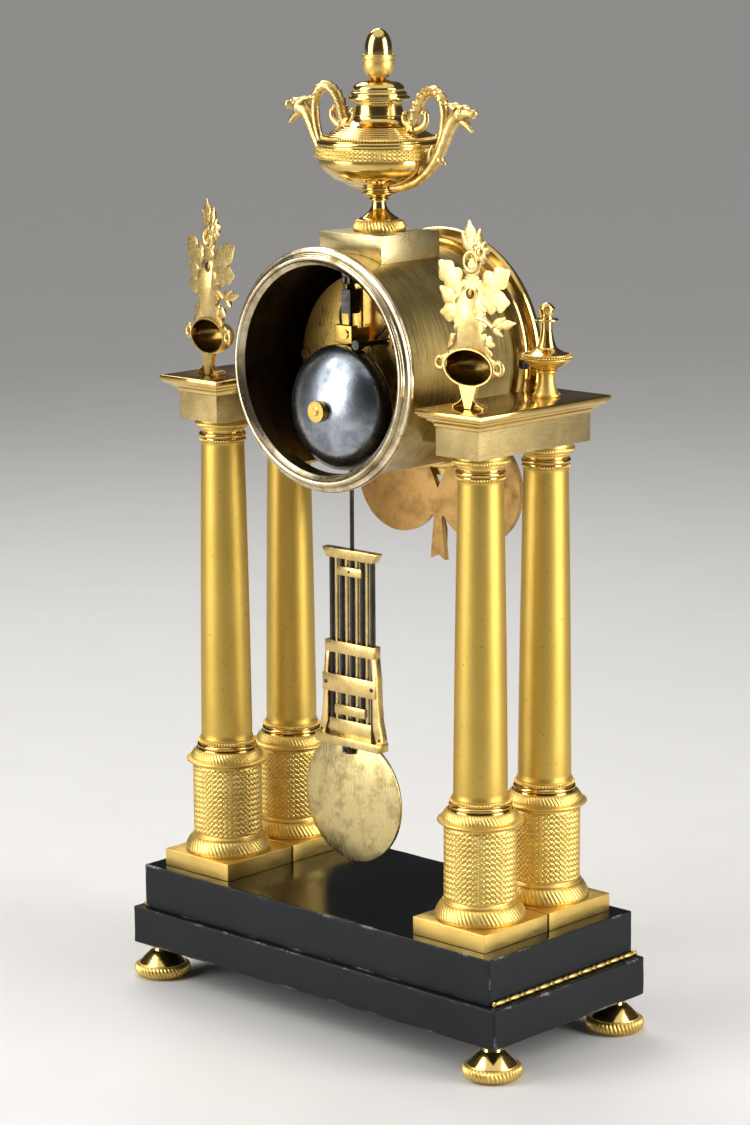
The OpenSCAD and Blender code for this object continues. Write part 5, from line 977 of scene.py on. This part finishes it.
# Bezel door: the hinged gilt ring that carries the glass, turned with a hollow between two rolls and set with
# a row of beads inside.
door_r, door_in, door_front, door_back, glass_r = 62.5, 50.1, -57.1, -50.3, 52.1
rebate_r, rebate_y = glass_r + 0.05, door_front + 3.2
ring = [(door_r, door_back), (door_r, door_back - 1.8), (door_r - 0.7, door_back - 2.5)]
ring += arc((door_r - 0.9, door_back - 5.8), (-3.4, -3.2), -90, 0, 8)
ring += arc((door_r - 5.8, door_front + 1.0), (1.4, -1.0), 0, 180, 10)
ring += [(door_r - 7.4, door_front + 1.6), (door_in + 0.8, door_front + 2.6), (door_in, door_front + 2.9),
         (door_in, rebate_y), (rebate_r, rebate_y), (rebate_r, door_back)]
tongue = worn_block((door_r - 2.5, hinge.y - knuckle_r, axis_z - 2.05),
                    (hinge.x, hinge.y, axis_z + 2.05), 0.3)
door = piece("bezel_door_ring", [lathe(ring, (0, 0, axis_z), 160, lying=True, closed=True),
                                 knuckle(axis_z, knuckle_h - 0.3), tongue], burnished_gilt)
beaded(door, 0.0, door_front + 1.9, axis_z, 53.0, 0.8, 170, math.pi / 2)
seated(settled(door), "bezel_door", body="bezel_door")

# Door glass: a flat clear disc with ground edges, set in the door from behind. Its faint waves bend what is
# seen through it.
clear, tree, surface, place = shader("clear_window_glass")
ripple = add(tree, "TexNoise", {"Vector": place, "Scale": 1 / (30 * MM), "Detail": 1.0})
wire(tree, surface, {
    "Base Color": add(tree, "Mix", {0: ripple, 6: "#FAFCFB", 7: "#F2F8F6"}, data_type="RGBA"),
    "Normal": add(tree, "Bump", {"Height": ripple, "Distance": 0.05 * MM}), "Transmission Weight": 1.0,
    "IOR": 1.46, "Roughness": 0.0})
low, high = span("door_glass")
pane = [(0.0, low.y), (glass_r - 0.3, low.y), (glass_r, low.y + 0.3), (glass_r, high.y - 0.3),
        (glass_r - 0.3, high.y), (0.0, high.y)]
pane = piece("door_pane", [lathe(pane, (0, 0, axis_z), 128, lying=True)], clear)
seated(pane, "door_glass", body="bezel_door", slot="glass")

# Garland: a pierced gilt casting hung behind the front bezel. Its back was filed flat and left scratched; its
# front is laid with laurel leaves that follow the two lobes and meet at a ribbon.
filed_back = metal("filed_casting_back", "#B08C54", "#664C2A", 0.32, 9, 0.4, (1, 1, 0.1), 0.03, 0.7, 0.6)
dressed(filed_back, "garland_mount")


def laurel_swag():
    """Node tree that lays pairs of leaves along an arc in the plane of the dial"""
    tree, given = node_tree("laurel_swag", centre="Vector", radius="Float", start="Float", sweep="Float",
                            leaves="Int", splay="Float", leaf="Object")
    bow = add(tree, "GeometryNodeCurveArc", {"Resolution": given["Leaves"], "Radius": given["Radius"],
                                             "Start Angle": given["Start"], "Sweep Angle": given["Sweep"]})
    stood = add(tree, "GeometryNodeTransform", {"Geometry": bow, "Translation": given["Centre"],
                                                "Rotation": (math.pi / 2, 0.0, 0.0)})
    spots = add(tree, "GeometryNodeCurveToPoints", {"Curve": stood, "Count": given["Leaves"]})
    along = add(tree, "FunctionNodeAlignRotationToVector", {"Vector": spots.outputs["Tangent"]}, axis="Z",
                pivot_axis="Y")
    shape = add(tree, "GeometryNodeObjectInfo", {"Object": given["Leaf"]}).outputs["Geometry"]
    layers = []
    for side in (-1.0, 1.0):
        lean = add(tree, "CombineXYZ", {1: add(tree, "Math", [given["Splay"], side], operation="MULTIPLY")})
        leant = add(tree, "FunctionNodeRotateRotation", {"Rotation": along, "Rotate By": lean},
                    rotation_space="LOCAL")
        layers.append(add(tree, "GeometryNodeInstanceOnPoints", {"Points": spots, "Instance": shape,
                                                                 "Rotation": leant}))
    return coated(tree, given, *layers)


LAUREL_SWAG = laurel_swag()
low, high = span("garland_mount")
lobe_x, lobe_z, face_y = 27.0, axis_z - 66.6, low.y + 0.1


def on_face(across, up, depth):
    return Vector((across, face_y + depth, up))


pattern_leaf = piece("laurel_pattern", [leaf((0, 0), (0, 9.5), 4.2, 1, 1.5, 0.4, upright, 12)], chased_gilt)
shapes = [ball((0, face_y, lobe_z - 10.8), 6.4, 1.8, 6.0), ball((0, face_y, lobe_z - 10.8), 2.4, 2.6, 2.4)]
for side in (-1, 1):
    middle = (side * lobe_x, lobe_z)
    shapes += [ball(on_face(*middle, -1.2), 2.4, 1.6, 2.4),
               leaf((0, lobe_z - 12), (side * 3.0, low.z + 1), 6.0, 1, 1.4, 0.3, on_face, 16)]
    shapes += [leaf(middle, petal, 6.0, 1, 1.7, 0.3, on_face, 14) for petal in arc(middle, (8, 8), 0, 315, 7)]
swags = piece("garland_laurel", shapes, chased_gilt)
for side in (-1, 1):
    for radius, count in ((23.0, 24), (15.5, 16)):
        worked(swags, LAUREL_SWAG, centre=[side * lobe_x * MM, face_y * MM, lobe_z * MM], radius=radius * MM,
               start=math.radians(-160 if side > 0 else 340), sweep=math.radians(200 * side), leaves=count,
               splay=math.radians(24), leaf=pattern_leaf, finish=chased_gilt)
settled(swags, 50)
bpy.data.objects.remove(pattern_leaf)
seated(swags)

# Dial: a copper disc fired with white enamel, its numerals and minute track painted in black and fired again.
# Two holes let the winding key through.
enamel, tree, surface, place = shader("fired_white_enamel")
cloud = add(tree, "TexNoise", {"Vector": place, "Scale": 1 / (25 * MM), "Detail": 3.0})
peel = add(tree, "TexNoise", {"Vector": place, "Scale": 1 / (3 * MM), "Detail": 1.0})
wire(tree, surface, {
    "Base Color": add(tree, "Mix", {0: cloud, 6: "#F4F2EA", 7: "#E9E6DA"}, data_type="RGBA"),
    "Normal": add(tree, "Bump", {"Height": peel, "Distance": 0.01 * MM}), "Roughness": 0.16,
    "Coat Weight": 0.5})
dressed(enamel, "dial")
painted, tree, surface, place = shader("fired_black_enamel")
thin = add(tree, "TexNoise", {"Vector": place, "Scale": 1 / (2 * MM), "Detail": 3.0})
wire(tree, surface, {"Base Color": add(tree, "Mix", {0: thin, 6: "#14130F", 7: "#24221C"}, data_type="RGBA"),
                     "Roughness": 0.25})
dial_y = span("dial")[0].y
# Each letter's width, then its strokes: foot, head and thickness across the dial
STROKES = {"I": (2.6, [(0.0, 0.0, 1.5)]), "V": (5.4, [(0.0, -1.9, 1.5), (0.0, 1.9, 0.55)]),
           "X": (5.6, [(1.9, -1.9, 1.5), (-1.9, 1.9, 0.55)])}
NUMERALS = ["XII", "I", "II", "III", "IIII", "V", "VI", "VII", "VIII", "IX", "X", "XI"]
numeral_r, numeral_h, serif, paint = 35.5, 10.5, 0.022, 0.06
marks = []
for hour, word in enumerate(NUMERALS):
    turn = math.radians(90 - 30 * hour)
    out, side = Vector((math.cos(turn), 0, math.sin(turn))), Vector((math.sin(turn), 0, -math.cos(turn)))
    half = sum(STROKES[letter][0] for letter in word) / 2
    bars = [[(-half, v - serif), (half, v - serif), (half, v + serif), (-half, v + serif)]
            for v in (0.0, 1.0)]
    at = -half
    for letter in word:
        step, strokes = STROKES[letter]
        middle = at + step / 2
        bars += [[(middle + foot - w / 2, 0), (middle + foot + w / 2, 0), (middle + head + w / 2, 1),
                  (middle + head - w / 2, 1)] for foot, head, w in strokes]
        at += step
    for corners in bars:
        marks.append(loft([[side * u + out * (numeral_r + numeral_h * v) + Vector((0, y, axis_z))
                            for u, v in corners] for y in (dial_y - paint, dial_y + 0.02)]))
numerals = piece("dial_numerals", marks, painted)


def minute_track():
    """Node tree that adds a ring of strokes on the dial, every fifth one heavier"""
    tree, given = node_tree("minute_track", centre="Vector", radius="Float", stroke="Vector", minutes="Int")
    ring = add(tree, "GeometryNodeMeshCircle", {"Vertices": given["Minutes"], "Radius": given["Radius"]})
    x, y, z = add(tree, "SeparateXYZ", [add(tree, "GeometryNodeInputPosition")]).outputs
    spin = add(tree, "CombineXYZ", {2: add(tree, "Math", [y, x], operation="ARCTAN2")})
    fifth = add(tree, "Math", [add(tree, "GeometryNodeInputIndex"), 5.0], operation="MODULO")
    heavy = add(tree, "Math", [fifth, 0.5], operation="LESS_THAN")
    broad = add(tree, "Math", [heavy, 2.0, 1.0], operation="MULTIPLY_ADD")
    stroke = add(tree, "GeometryNodeMeshCube", {"Size": given["Stroke"]})
    row = add(tree, "GeometryNodeInstanceOnPoints", {"Points": ring, "Instance": stroke, "Rotation": spin,
                                                     "Scale": add(tree, "CombineXYZ", [1.0, broad, 1.0])})
    return coated(tree, given, add(tree, "GeometryNodeTransform", {
        "Geometry": row, "Translation": given["Centre"], "Rotation": (math.pi / 2, 0.0, 0.0)}))


worked(numerals, minute_track(), centre=[0.0, (dial_y - 0.02) * MM, axis_z * MM], radius=48.6 * MM,
       stroke=[2.2 * MM, 0.35 * MM, 0.08 * MM], minutes=60, finish=painted)
seated(settled(numerals), slot="enamel")

# Hands: pierced steel hands, filed to shape and blued in hot sand; the minute hand is squared on the cannon
# pipe.
blued = metal("heat_blued_steel", "#1C2C5C", "#0E1530", 0.22, 6, 0.5, relief=0.006, stain=0.6)
dressed(blued, "minute_hand", "hour_hand")

# Movement: round brass plates held apart by four pillars, with cut brass wheels between them. The plates are
# grained straight and lacquered; arbors, hammer and suspension are dulled tool steel.
plate_brass = metal("grained_movement_brass", "#C9A557", "#7C5F2C", 0.26, 14, 0.5, (1, 1, 0.08), 0.015,
                    stain=0.7, scratches=0.3)
dark_steel = metal("dulled_tool_steel", "#4A4742", "#1E1B18", 0.3, 6, 0.4, stain=0.75)
dressed(plate_brass, "front_plate", "back_plate", "plate_pillars", "going_barrel", "going_second_wheel",
        "centre_wheel", "third_wheel", "escape_wheel", "anchor_and_crutch", "minute_wheel", "strike_barrel",
        "count_wheel", "pin_wheel", "fly", "bell_stand")
dressed(dark_steel, "column_tie_rods", "screws_and_pins", "hammer", "pendulum_rod", "going_winding_arbor",
        "strike_winding_arbor", "mainsprings")

# Suspension: a brass cock screwed to the back plate holds a steel block, and a thin spring between the two
# halves of that block carries the pendulum. The crutch ends in a brass block that a screw clamps to its wire.


def slotted_screw(x, z, r, face, proud):
    """A cheese-headed screw lying along Y: a head in two halves, with the driver's slot between them"""
    slot = math.degrees(math.asin(0.16))
    halves = [plate(arc((x, z), (r, sign * r), slot, 180 - slot, 14), face, face + proud) for sign in (-1, 1)]
    return halves + [plate(arc((x, z), (r, r), 0, 345, 23), face, face + proud * 0.45)]


low, high = span("suspension")
plate_y, rod_y = span("back_plate")[1].y, 21.0
leg_in, leg_out, cock_y, cock_z = 7.0, high.x, plate_y + 3.0, high.z - 6.0
cock = [(-leg_out, low.z), (-leg_in, low.z), (-leg_in, cock_z), (leg_in, cock_z), (leg_in, low.z),
        (leg_out, low.z), (leg_out, high.z), (-leg_out, high.z)]
bracket = piece("suspension_cock", [plate(cock, plate_y, cock_y)], plate_brass)
seated(bevelled(bracket, 0.4), "suspension", slot="movement_brass")
block_half, block_front, block_back = 3.0, rod_y - 3.5, rod_y + 3.5
chops = [worn_block((-block_half, cock_y, cock_z), (block_half, block_back, high.z), 0.5),
         worn_block((-0.15, rod_y - 2.5, low.z + 7), (0.15, rod_y + 2.5, cock_z), 0.05)]
for side in (-1, 1):
    chops.append(worn_block((side * 1.7 - 1.25, block_front, cock_z - 3.0),
                            (side * 1.7 + 1.25, block_back, cock_z + 0.3), 0.35))
    chops += slotted_screw(side * (leg_in + leg_out) / 2, low.z + 5.0, 2.2, cock_y, 1.5)
chops += slotted_screw(0.0, (cock_z + high.z) / 2, 1.7, block_back, 1.0)
seated(piece("suspension_chops", chops, dark_steel, sharp=30), "suspension", slot="steel")
low, high = span("anchor_and_crutch")
clamp = [worn_block((-6.0, high.y - 1.0, low.z + 0.6), (6.0, high.y + 3.6, low.z + 9.4), 0.5, wear=0.2,
                    seed=2.0)]
clamp_screw = slotted_screw(-1.4, low.z + 5.2, 2.5, high.y + 3.5, 1.1)
for name, shapes in (("crutch_block", clamp), ("crutch_screw", clamp_screw)):
    seated(piece(name, shapes, plate_brass, sharp=30), body="anchor", slot="movement_brass")

# Strike levers: three bent steel wires on the back plate, each ending at a turned stud that is screwed into
# the plate.
plate_y = span("back_plate")[1].y
levers = [[(-7, 344), (-11, 350), (-18, 356), (-25, 364)], [(-9, 367), (-14, 361), (-22, 358), (-28, 351)],
          [(8, 344), (13, 352), (14, 360), (10, 367)]]
stud = [(0.0, 0.0), (2.0, 0.0), (2.0, 3.4), (1.7, 5.6), (0.5, 5.9), (0.0, 5.9)]
shapes = []
for path in levers:
    shapes.append(tube([upright(p.x, p.y, plate_y + 4.6) for p in curve(path)], 0.75, 10))
    shapes.append(lathe(stud, upright(*path[-1], plate_y), 24, lying=True))
seated(piece("strike_levers", shapes, dark_steel), slot="steel")

# Bell: a cast bell turned thin, blued grey by age and blotched, with two lines cut near its rim. A brass nut
# holds it on the stand behind the back plate.
bell_grey, tree, surface, place = shader("aged_bell_metal")
cloud = add(tree, "TexNoise", {"Vector": place, "Scale": 1 / (9 * MM), "Detail": 6.0, "Roughness": 0.65})
fine = add(tree, "TexNoise", {"Vector": place, "Scale": 1 / (0.7 * MM), "Detail": 2.0})
wire(tree, surface, {
    "Base Color": add(tree, "Mix", {0: add(tree, "MapRange", [cloud, 0.3, 0.68]), 6: "#636870", 7: "#A2A8B0"},
                      data_type="RGBA"),
    "Roughness": add(tree, "MapRange", [cloud, 0.3, 0.7, 0.34, 0.2]), "Metallic": 1.0,
    "Normal": add(tree, "Bump", {"Height": fine, "Distance": 0.015 * MM})})
low, high = span("bell")
bell_z, bell_r, wall, skirt, cut = (low.z + high.z) / 2, (high.x - low.x) / 2, 1.5, low.y + 3.0, 0.18
dome = [(bell_r, low.y), (bell_r + 0.15, low.y + 0.6), (bell_r, low.y + 1.2), (bell_r - 0.1, skirt)]
for i, (r, y) in enumerate(arc((0, skirt), (bell_r, high.y - skirt), 3.6, 86.4, 23)):
    dome.append((r * (1 - cut / bell_r) if i in (5, 7) else r, y))
dome += [(2.4, high.y), (2.4, high.y - wall)]
dome += arc((0, skirt), (bell_r - wall, high.y - wall - skirt), 82.8, 0, 23) + [(bell_r - wall, low.y)]
bell = piece("bell_shell", [lathe(dome, (0, 0, bell_z), 128, lying=True, closed=True)], bell_grey, 25)
seated(bell, "bell", slot="bell_metal")
nut = [(0.0, 0.1), (5.0, 0.1), (5.3, 0.5), (5.3, 2.3), (4.9, 2.9), (4.2, 3.0), (4.0, 2.7), (2.3, 2.7),
       (2.2, 3.7), (1.9, 3.9), (0.9, 3.9), (0.7, 3.0), (0.0, 3.0)]
nut_brass = metal("turned_nut_brass", "#C9AE6C", "#6E5630", 0.24, 4, 0.3, stain=0.7)
seated(piece("bell_nut", [lathe(nut, (0, high.y, bell_z), 48, lying=True)], nut_brass), slot="movement_brass")

# Gridiron rods: nine thin rods set side by side, steel and brass in turn, so that one metal's growth in the
# heat undoes the other's. Their ends are pinned in the bars.


def rod_grid():
    """Node tree that adds upright rods in a row"""
    tree, given = node_tree("rod_grid", first="Vector", step="Vector", rods="Int", length="Float",
                            radius="Float")
    row = add(tree, "GeometryNodeMeshLine", {"Count": given["Rods"], "Start Location": given["First"],
                                             "Offset": given["Step"]}, mode="OFFSET")
    rod = add(tree, "GeometryNodeMeshCylinder", {"Vertices": 20, "Radius": given["Radius"],
                                                 "Depth": given["Length"]})
    return coated(tree, given, add(tree, "GeometryNodeInstanceOnPoints", {"Points": row, "Instance": rod}))


ROD_GRID = rod_grid()
# Lacquered brass: pale gold, drawn along the rods, with small dark marks where the lacquer has lifted
pale_brass = metal("lacquered_drawn_brass", "#D8BC7C", "#94763F", 0.24, 8, 0.4, (1, 1, 0.05), 0.004, 0.6, 0.4)
rod_steel = metal("drawn_rod_steel", "#4A4540", "#241F1A", 0.32, 9, 0.4, (1, 1, 0.05), 0.01, 0.6)
low, high = span("gridiron_rods")
centre, rod_r = (low + high) / 2, (high.y - low.y) / 2
pitch = (high.x - low.x - 2 * rod_r) / 8
for name, first, count, thick, finish, slot in (
        ("gridiron_steel_rods", 0, 5, 1.4, rod_steel, "steel"),
        ("gridiron_brass_rods", 1, 4, 1.1, pale_brass, "pendulum_brass")):
    rods = piece(name, [], finish)
    worked(rods, ROD_GRID, first=[(low.x + rod_r + pitch * first) * MM, centre.y * MM, centre.z * MM],
           step=[2 * pitch * MM, 0.0, 0.0], rods=count, length=(high.z - low.z) * MM, radius=thick * MM,
           finish=finish)
    seated(settled(rods), "gridiron_rods", body="pendulum", slot=slot)

# Gridiron frame: cast and filed brass. A flared bar hangs from the rod, a waist bar and two screwed plates
# steady the rods, and two cheeks spread to the sill that carries the bob's hook.


def bar(half, low_z, high_z, front, back):
    return plate([(-half, low_z), (half, low_z), (half, high_z), (-half, high_z)], front, back)


low, high = span("gridiron_frame")
front, back, top, sill = low.y, high.y, high.z, low.z
w = 4 * pitch + rod_r
head = [(-w - 0.6, top - 5), (w + 0.6, top - 5), (w + 3.4, top - 1.0), (w + 3.4, top), (-w - 3.4, top),
        (-w - 3.4, top - 1.0)]
shapes = [plate(head, front, back), bar(8.4, top - 13.4, top - 8.8, back - 0.9, back + 0.2),
          bar(w + 1.8, 188.2, 194.4, front, back + 0.3), bar(w + 3.2, 168.0, 177.2, back - 0.6, back + 0.9),
          bar(w - 4.6, 156.6, 161.6, back - 0.9, back + 0.2),
          bar(w - 0.6, sill + 4.2, 154.0, front, back - 0.2),
          bar(w + 7.0, sill, sill + 4.4, front, back + 2.6)]
cheek = [(-1.0, 190), (0.2, 178), (0.4, 158), (0.6, 152), (3.2, sill + 3), (7.0, sill + 3), (6.2, 149),
         (4.4, 156), (3.6, 166), (3.2, 178), (1.6, 190)]
for side in (-1, 1):
    shapes.append(plate([(side * (w + x), z) for x, z in cheek], front + 0.2, back - 0.1))
bars = piece("gridiron_bars", shapes, pale_brass)
seated(bevelled(bars, 0.3), "gridiron_frame", body="pendulum", slot="pendulum_brass")
pins = [bar(3.4, sill - 3.4, sill + 0.2, back - 1.2, back + 2.0)]
for x, z, r, face in ((-w - 0.8, 172.6, 1.1, back + 0.8), (w + 0.8, 172.6, 1.1, back + 0.8),
                      (0, top - 11.1, 0.7, back + 0.1), (w + 4.8, sill + 6.0, 0.8, back - 0.2),
                      (-w - 4.8, sill + 6.0, 0.8, back - 0.2)):
    head = [(0.0, face), (r, face), (r, face + 0.3), (r - 0.25, face + 0.45), (0.0, face + 0.45)]
    pins.append(lathe(head, (x, 0, z), 20, lying=True))
hook = curve([(-1.6, sill + 0.4), (-1.8, sill - 2.6), (0.6, sill - 3.0), (1.6, sill - 1.4)])
pins.append(tube([upright(p.x, p.y, back + 2.3) for p in hook], 0.7, 8))
seated(piece("gridiron_screws", pins, dark_steel), body="pendulum", slot="steel")

# Pendulum bob: a lens of lead in spun brass shells, seamed at the rim. Its lacquer is gone: pale satin gold,
# with arcs of fine scratches and brown finger marks.
rubbed_brass, tree, surface, place = shader("rubbed_spun_brass")
cloud = add(tree, "TexNoise", {"Vector": place, "Scale": 1 / (7 * MM), "Detail": 8.0, "Roughness": 0.72})
marks = add(tree, "MapRange", [cloud, 0.46, 0.70, 0.0, 0.8])
tilt = add(tree, "Mapping", {"Vector": place, "Rotation": (0.3, 0.6, 0.2),
                             "Scale": [1 / (size * MM) for size in (0.3, 6, 9)]})
hair = add(tree, "TexNoise", {"Vector": tilt, "Scale": 1.0, "Detail": 3.0})
wire(tree, surface, {
    "Base Color": add(tree, "Mix", {0: marks, 6: "#CDBA84", 7: "#7E693C"}, data_type="RGBA"), "Metallic": 1.0,
    "Roughness": add(tree, "MapRange", [hair, 0.3, 0.7, 0.18, 0.36]),
    "Normal": add(tree, "Bump", {"Height": hair, "Distance": 0.035 * MM})})
low, high = span("pendulum_bob")
centre, bob_r, bulge, rim = (low + high) / 2, (high.x - low.x) / 2, (high.y - low.y) / 2, 0.9
dome = [(bob_r * i / 24, rim + (bulge - rim) * (1 - (i / 24) ** 2)) for i in range(24)]
dome += [(bob_r - 0.25, rim), (bob_r, rim * 0.5)]
lens = [(r, -y) for r, y in dome] + dome[::-1]
bob = piece("bob_lens", [lathe(lens, (0, centre.y, centre.z), 128, lying=True)], rubbed_brass)
seated(bob, "pendulum_bob", body="pendulum", slot="pendulum_brass")

# Stage: a plain pale floor, broad soft lights at the clock's sides and behind it, a wide weak one overhead,
# and the camera where the photograph was taken from.
sheet, tree, surface, place = shader("pale_matt_sheet")
weave = add(tree, "TexNoise", {"Vector": place, "Scale": 1 / (60 * MM), "Detail": 3.0})
wire(tree, surface, {"Base Color": add(tree, "Mix", {0: weave, 6: "#C6C4C1", 7: "#CCCAC7"}, data_type="RGBA"),
                     "Roughness": 0.75})
scene = bpy.context.scene
half = 300.0
mesh = bpy.data.meshes.new("floor")
mesh.from_pydata([(-half, -half, 0.0), (half, -half, 0.0), (half, half, 0.0), (-half, half, 0.0)], [],
                 [[0, 1, 2, 3]])
mesh.materials.append(sheet)
floor = bpy.data.objects.new("floor", mesh)
scene.collection.objects.link(floor)

eye = Vector((-1.1054, 1.1832, 0.5575))
look = Vector((0.6706, -0.7152, -0.1969)).normalized()
away = Vector((look.x, look.y, 0)).normalized()
across = Vector((away.y, -away.x, 0))
for name, side, far, up, size, power in (("left_softbox", -1.05, -0.35, 0.75, (0.8, 1.4), 19),
                                         ("right_softbox", 1.0, -0.5, 0.55, (0.6, 1.3), 17),
                                         ("far_softbox", -0.3, 1.1, 1.35, (0.9, 0.6), 12)):
    lamp = bpy.data.lights.new(name, "AREA")
    lamp.shape, (lamp.size, lamp.size_y), lamp.energy = "RECTANGLE", size, power
    light = bpy.data.objects.new(name, lamp)
    light.location = across * side + away * far + Vector((0, 0, up))
    light.rotation_euler = (Vector((0, 0, 0.25)) - light.location).to_track_quat("-Z", "Y").to_euler()
    scene.collection.objects.link(light)
lamp = bpy.data.lights.new("overhead", "SUN")
lamp.energy, lamp.angle = 1.3, math.radians(80)
scene.collection.objects.link(bpy.data.objects.new("overhead", lamp))
scene.world = bpy.data.worlds.new("studio")
scene.world.use_nodes = True
tree = scene.world.node_tree
wire(tree, tree.nodes["Background"], {"Color": "#8C8A88", "Strength": 0.22})
scene.view_settings.view_transform = "Standard"

lens = bpy.data.cameras.new("camera")
lens.lens, lens.sensor_width, lens.clip_end = 104.45, 36.0, 900.0
camera = bpy.data.objects.new("camera", lens)
camera.location = eye
turn = look.to_track_quat("-Z", "Y").to_matrix() @ Matrix.Rotation(-0.005, 3, "Z")
camera.rotation_euler = turn.to_euler()
scene.collection.objects.link(camera)
scene.camera = camera
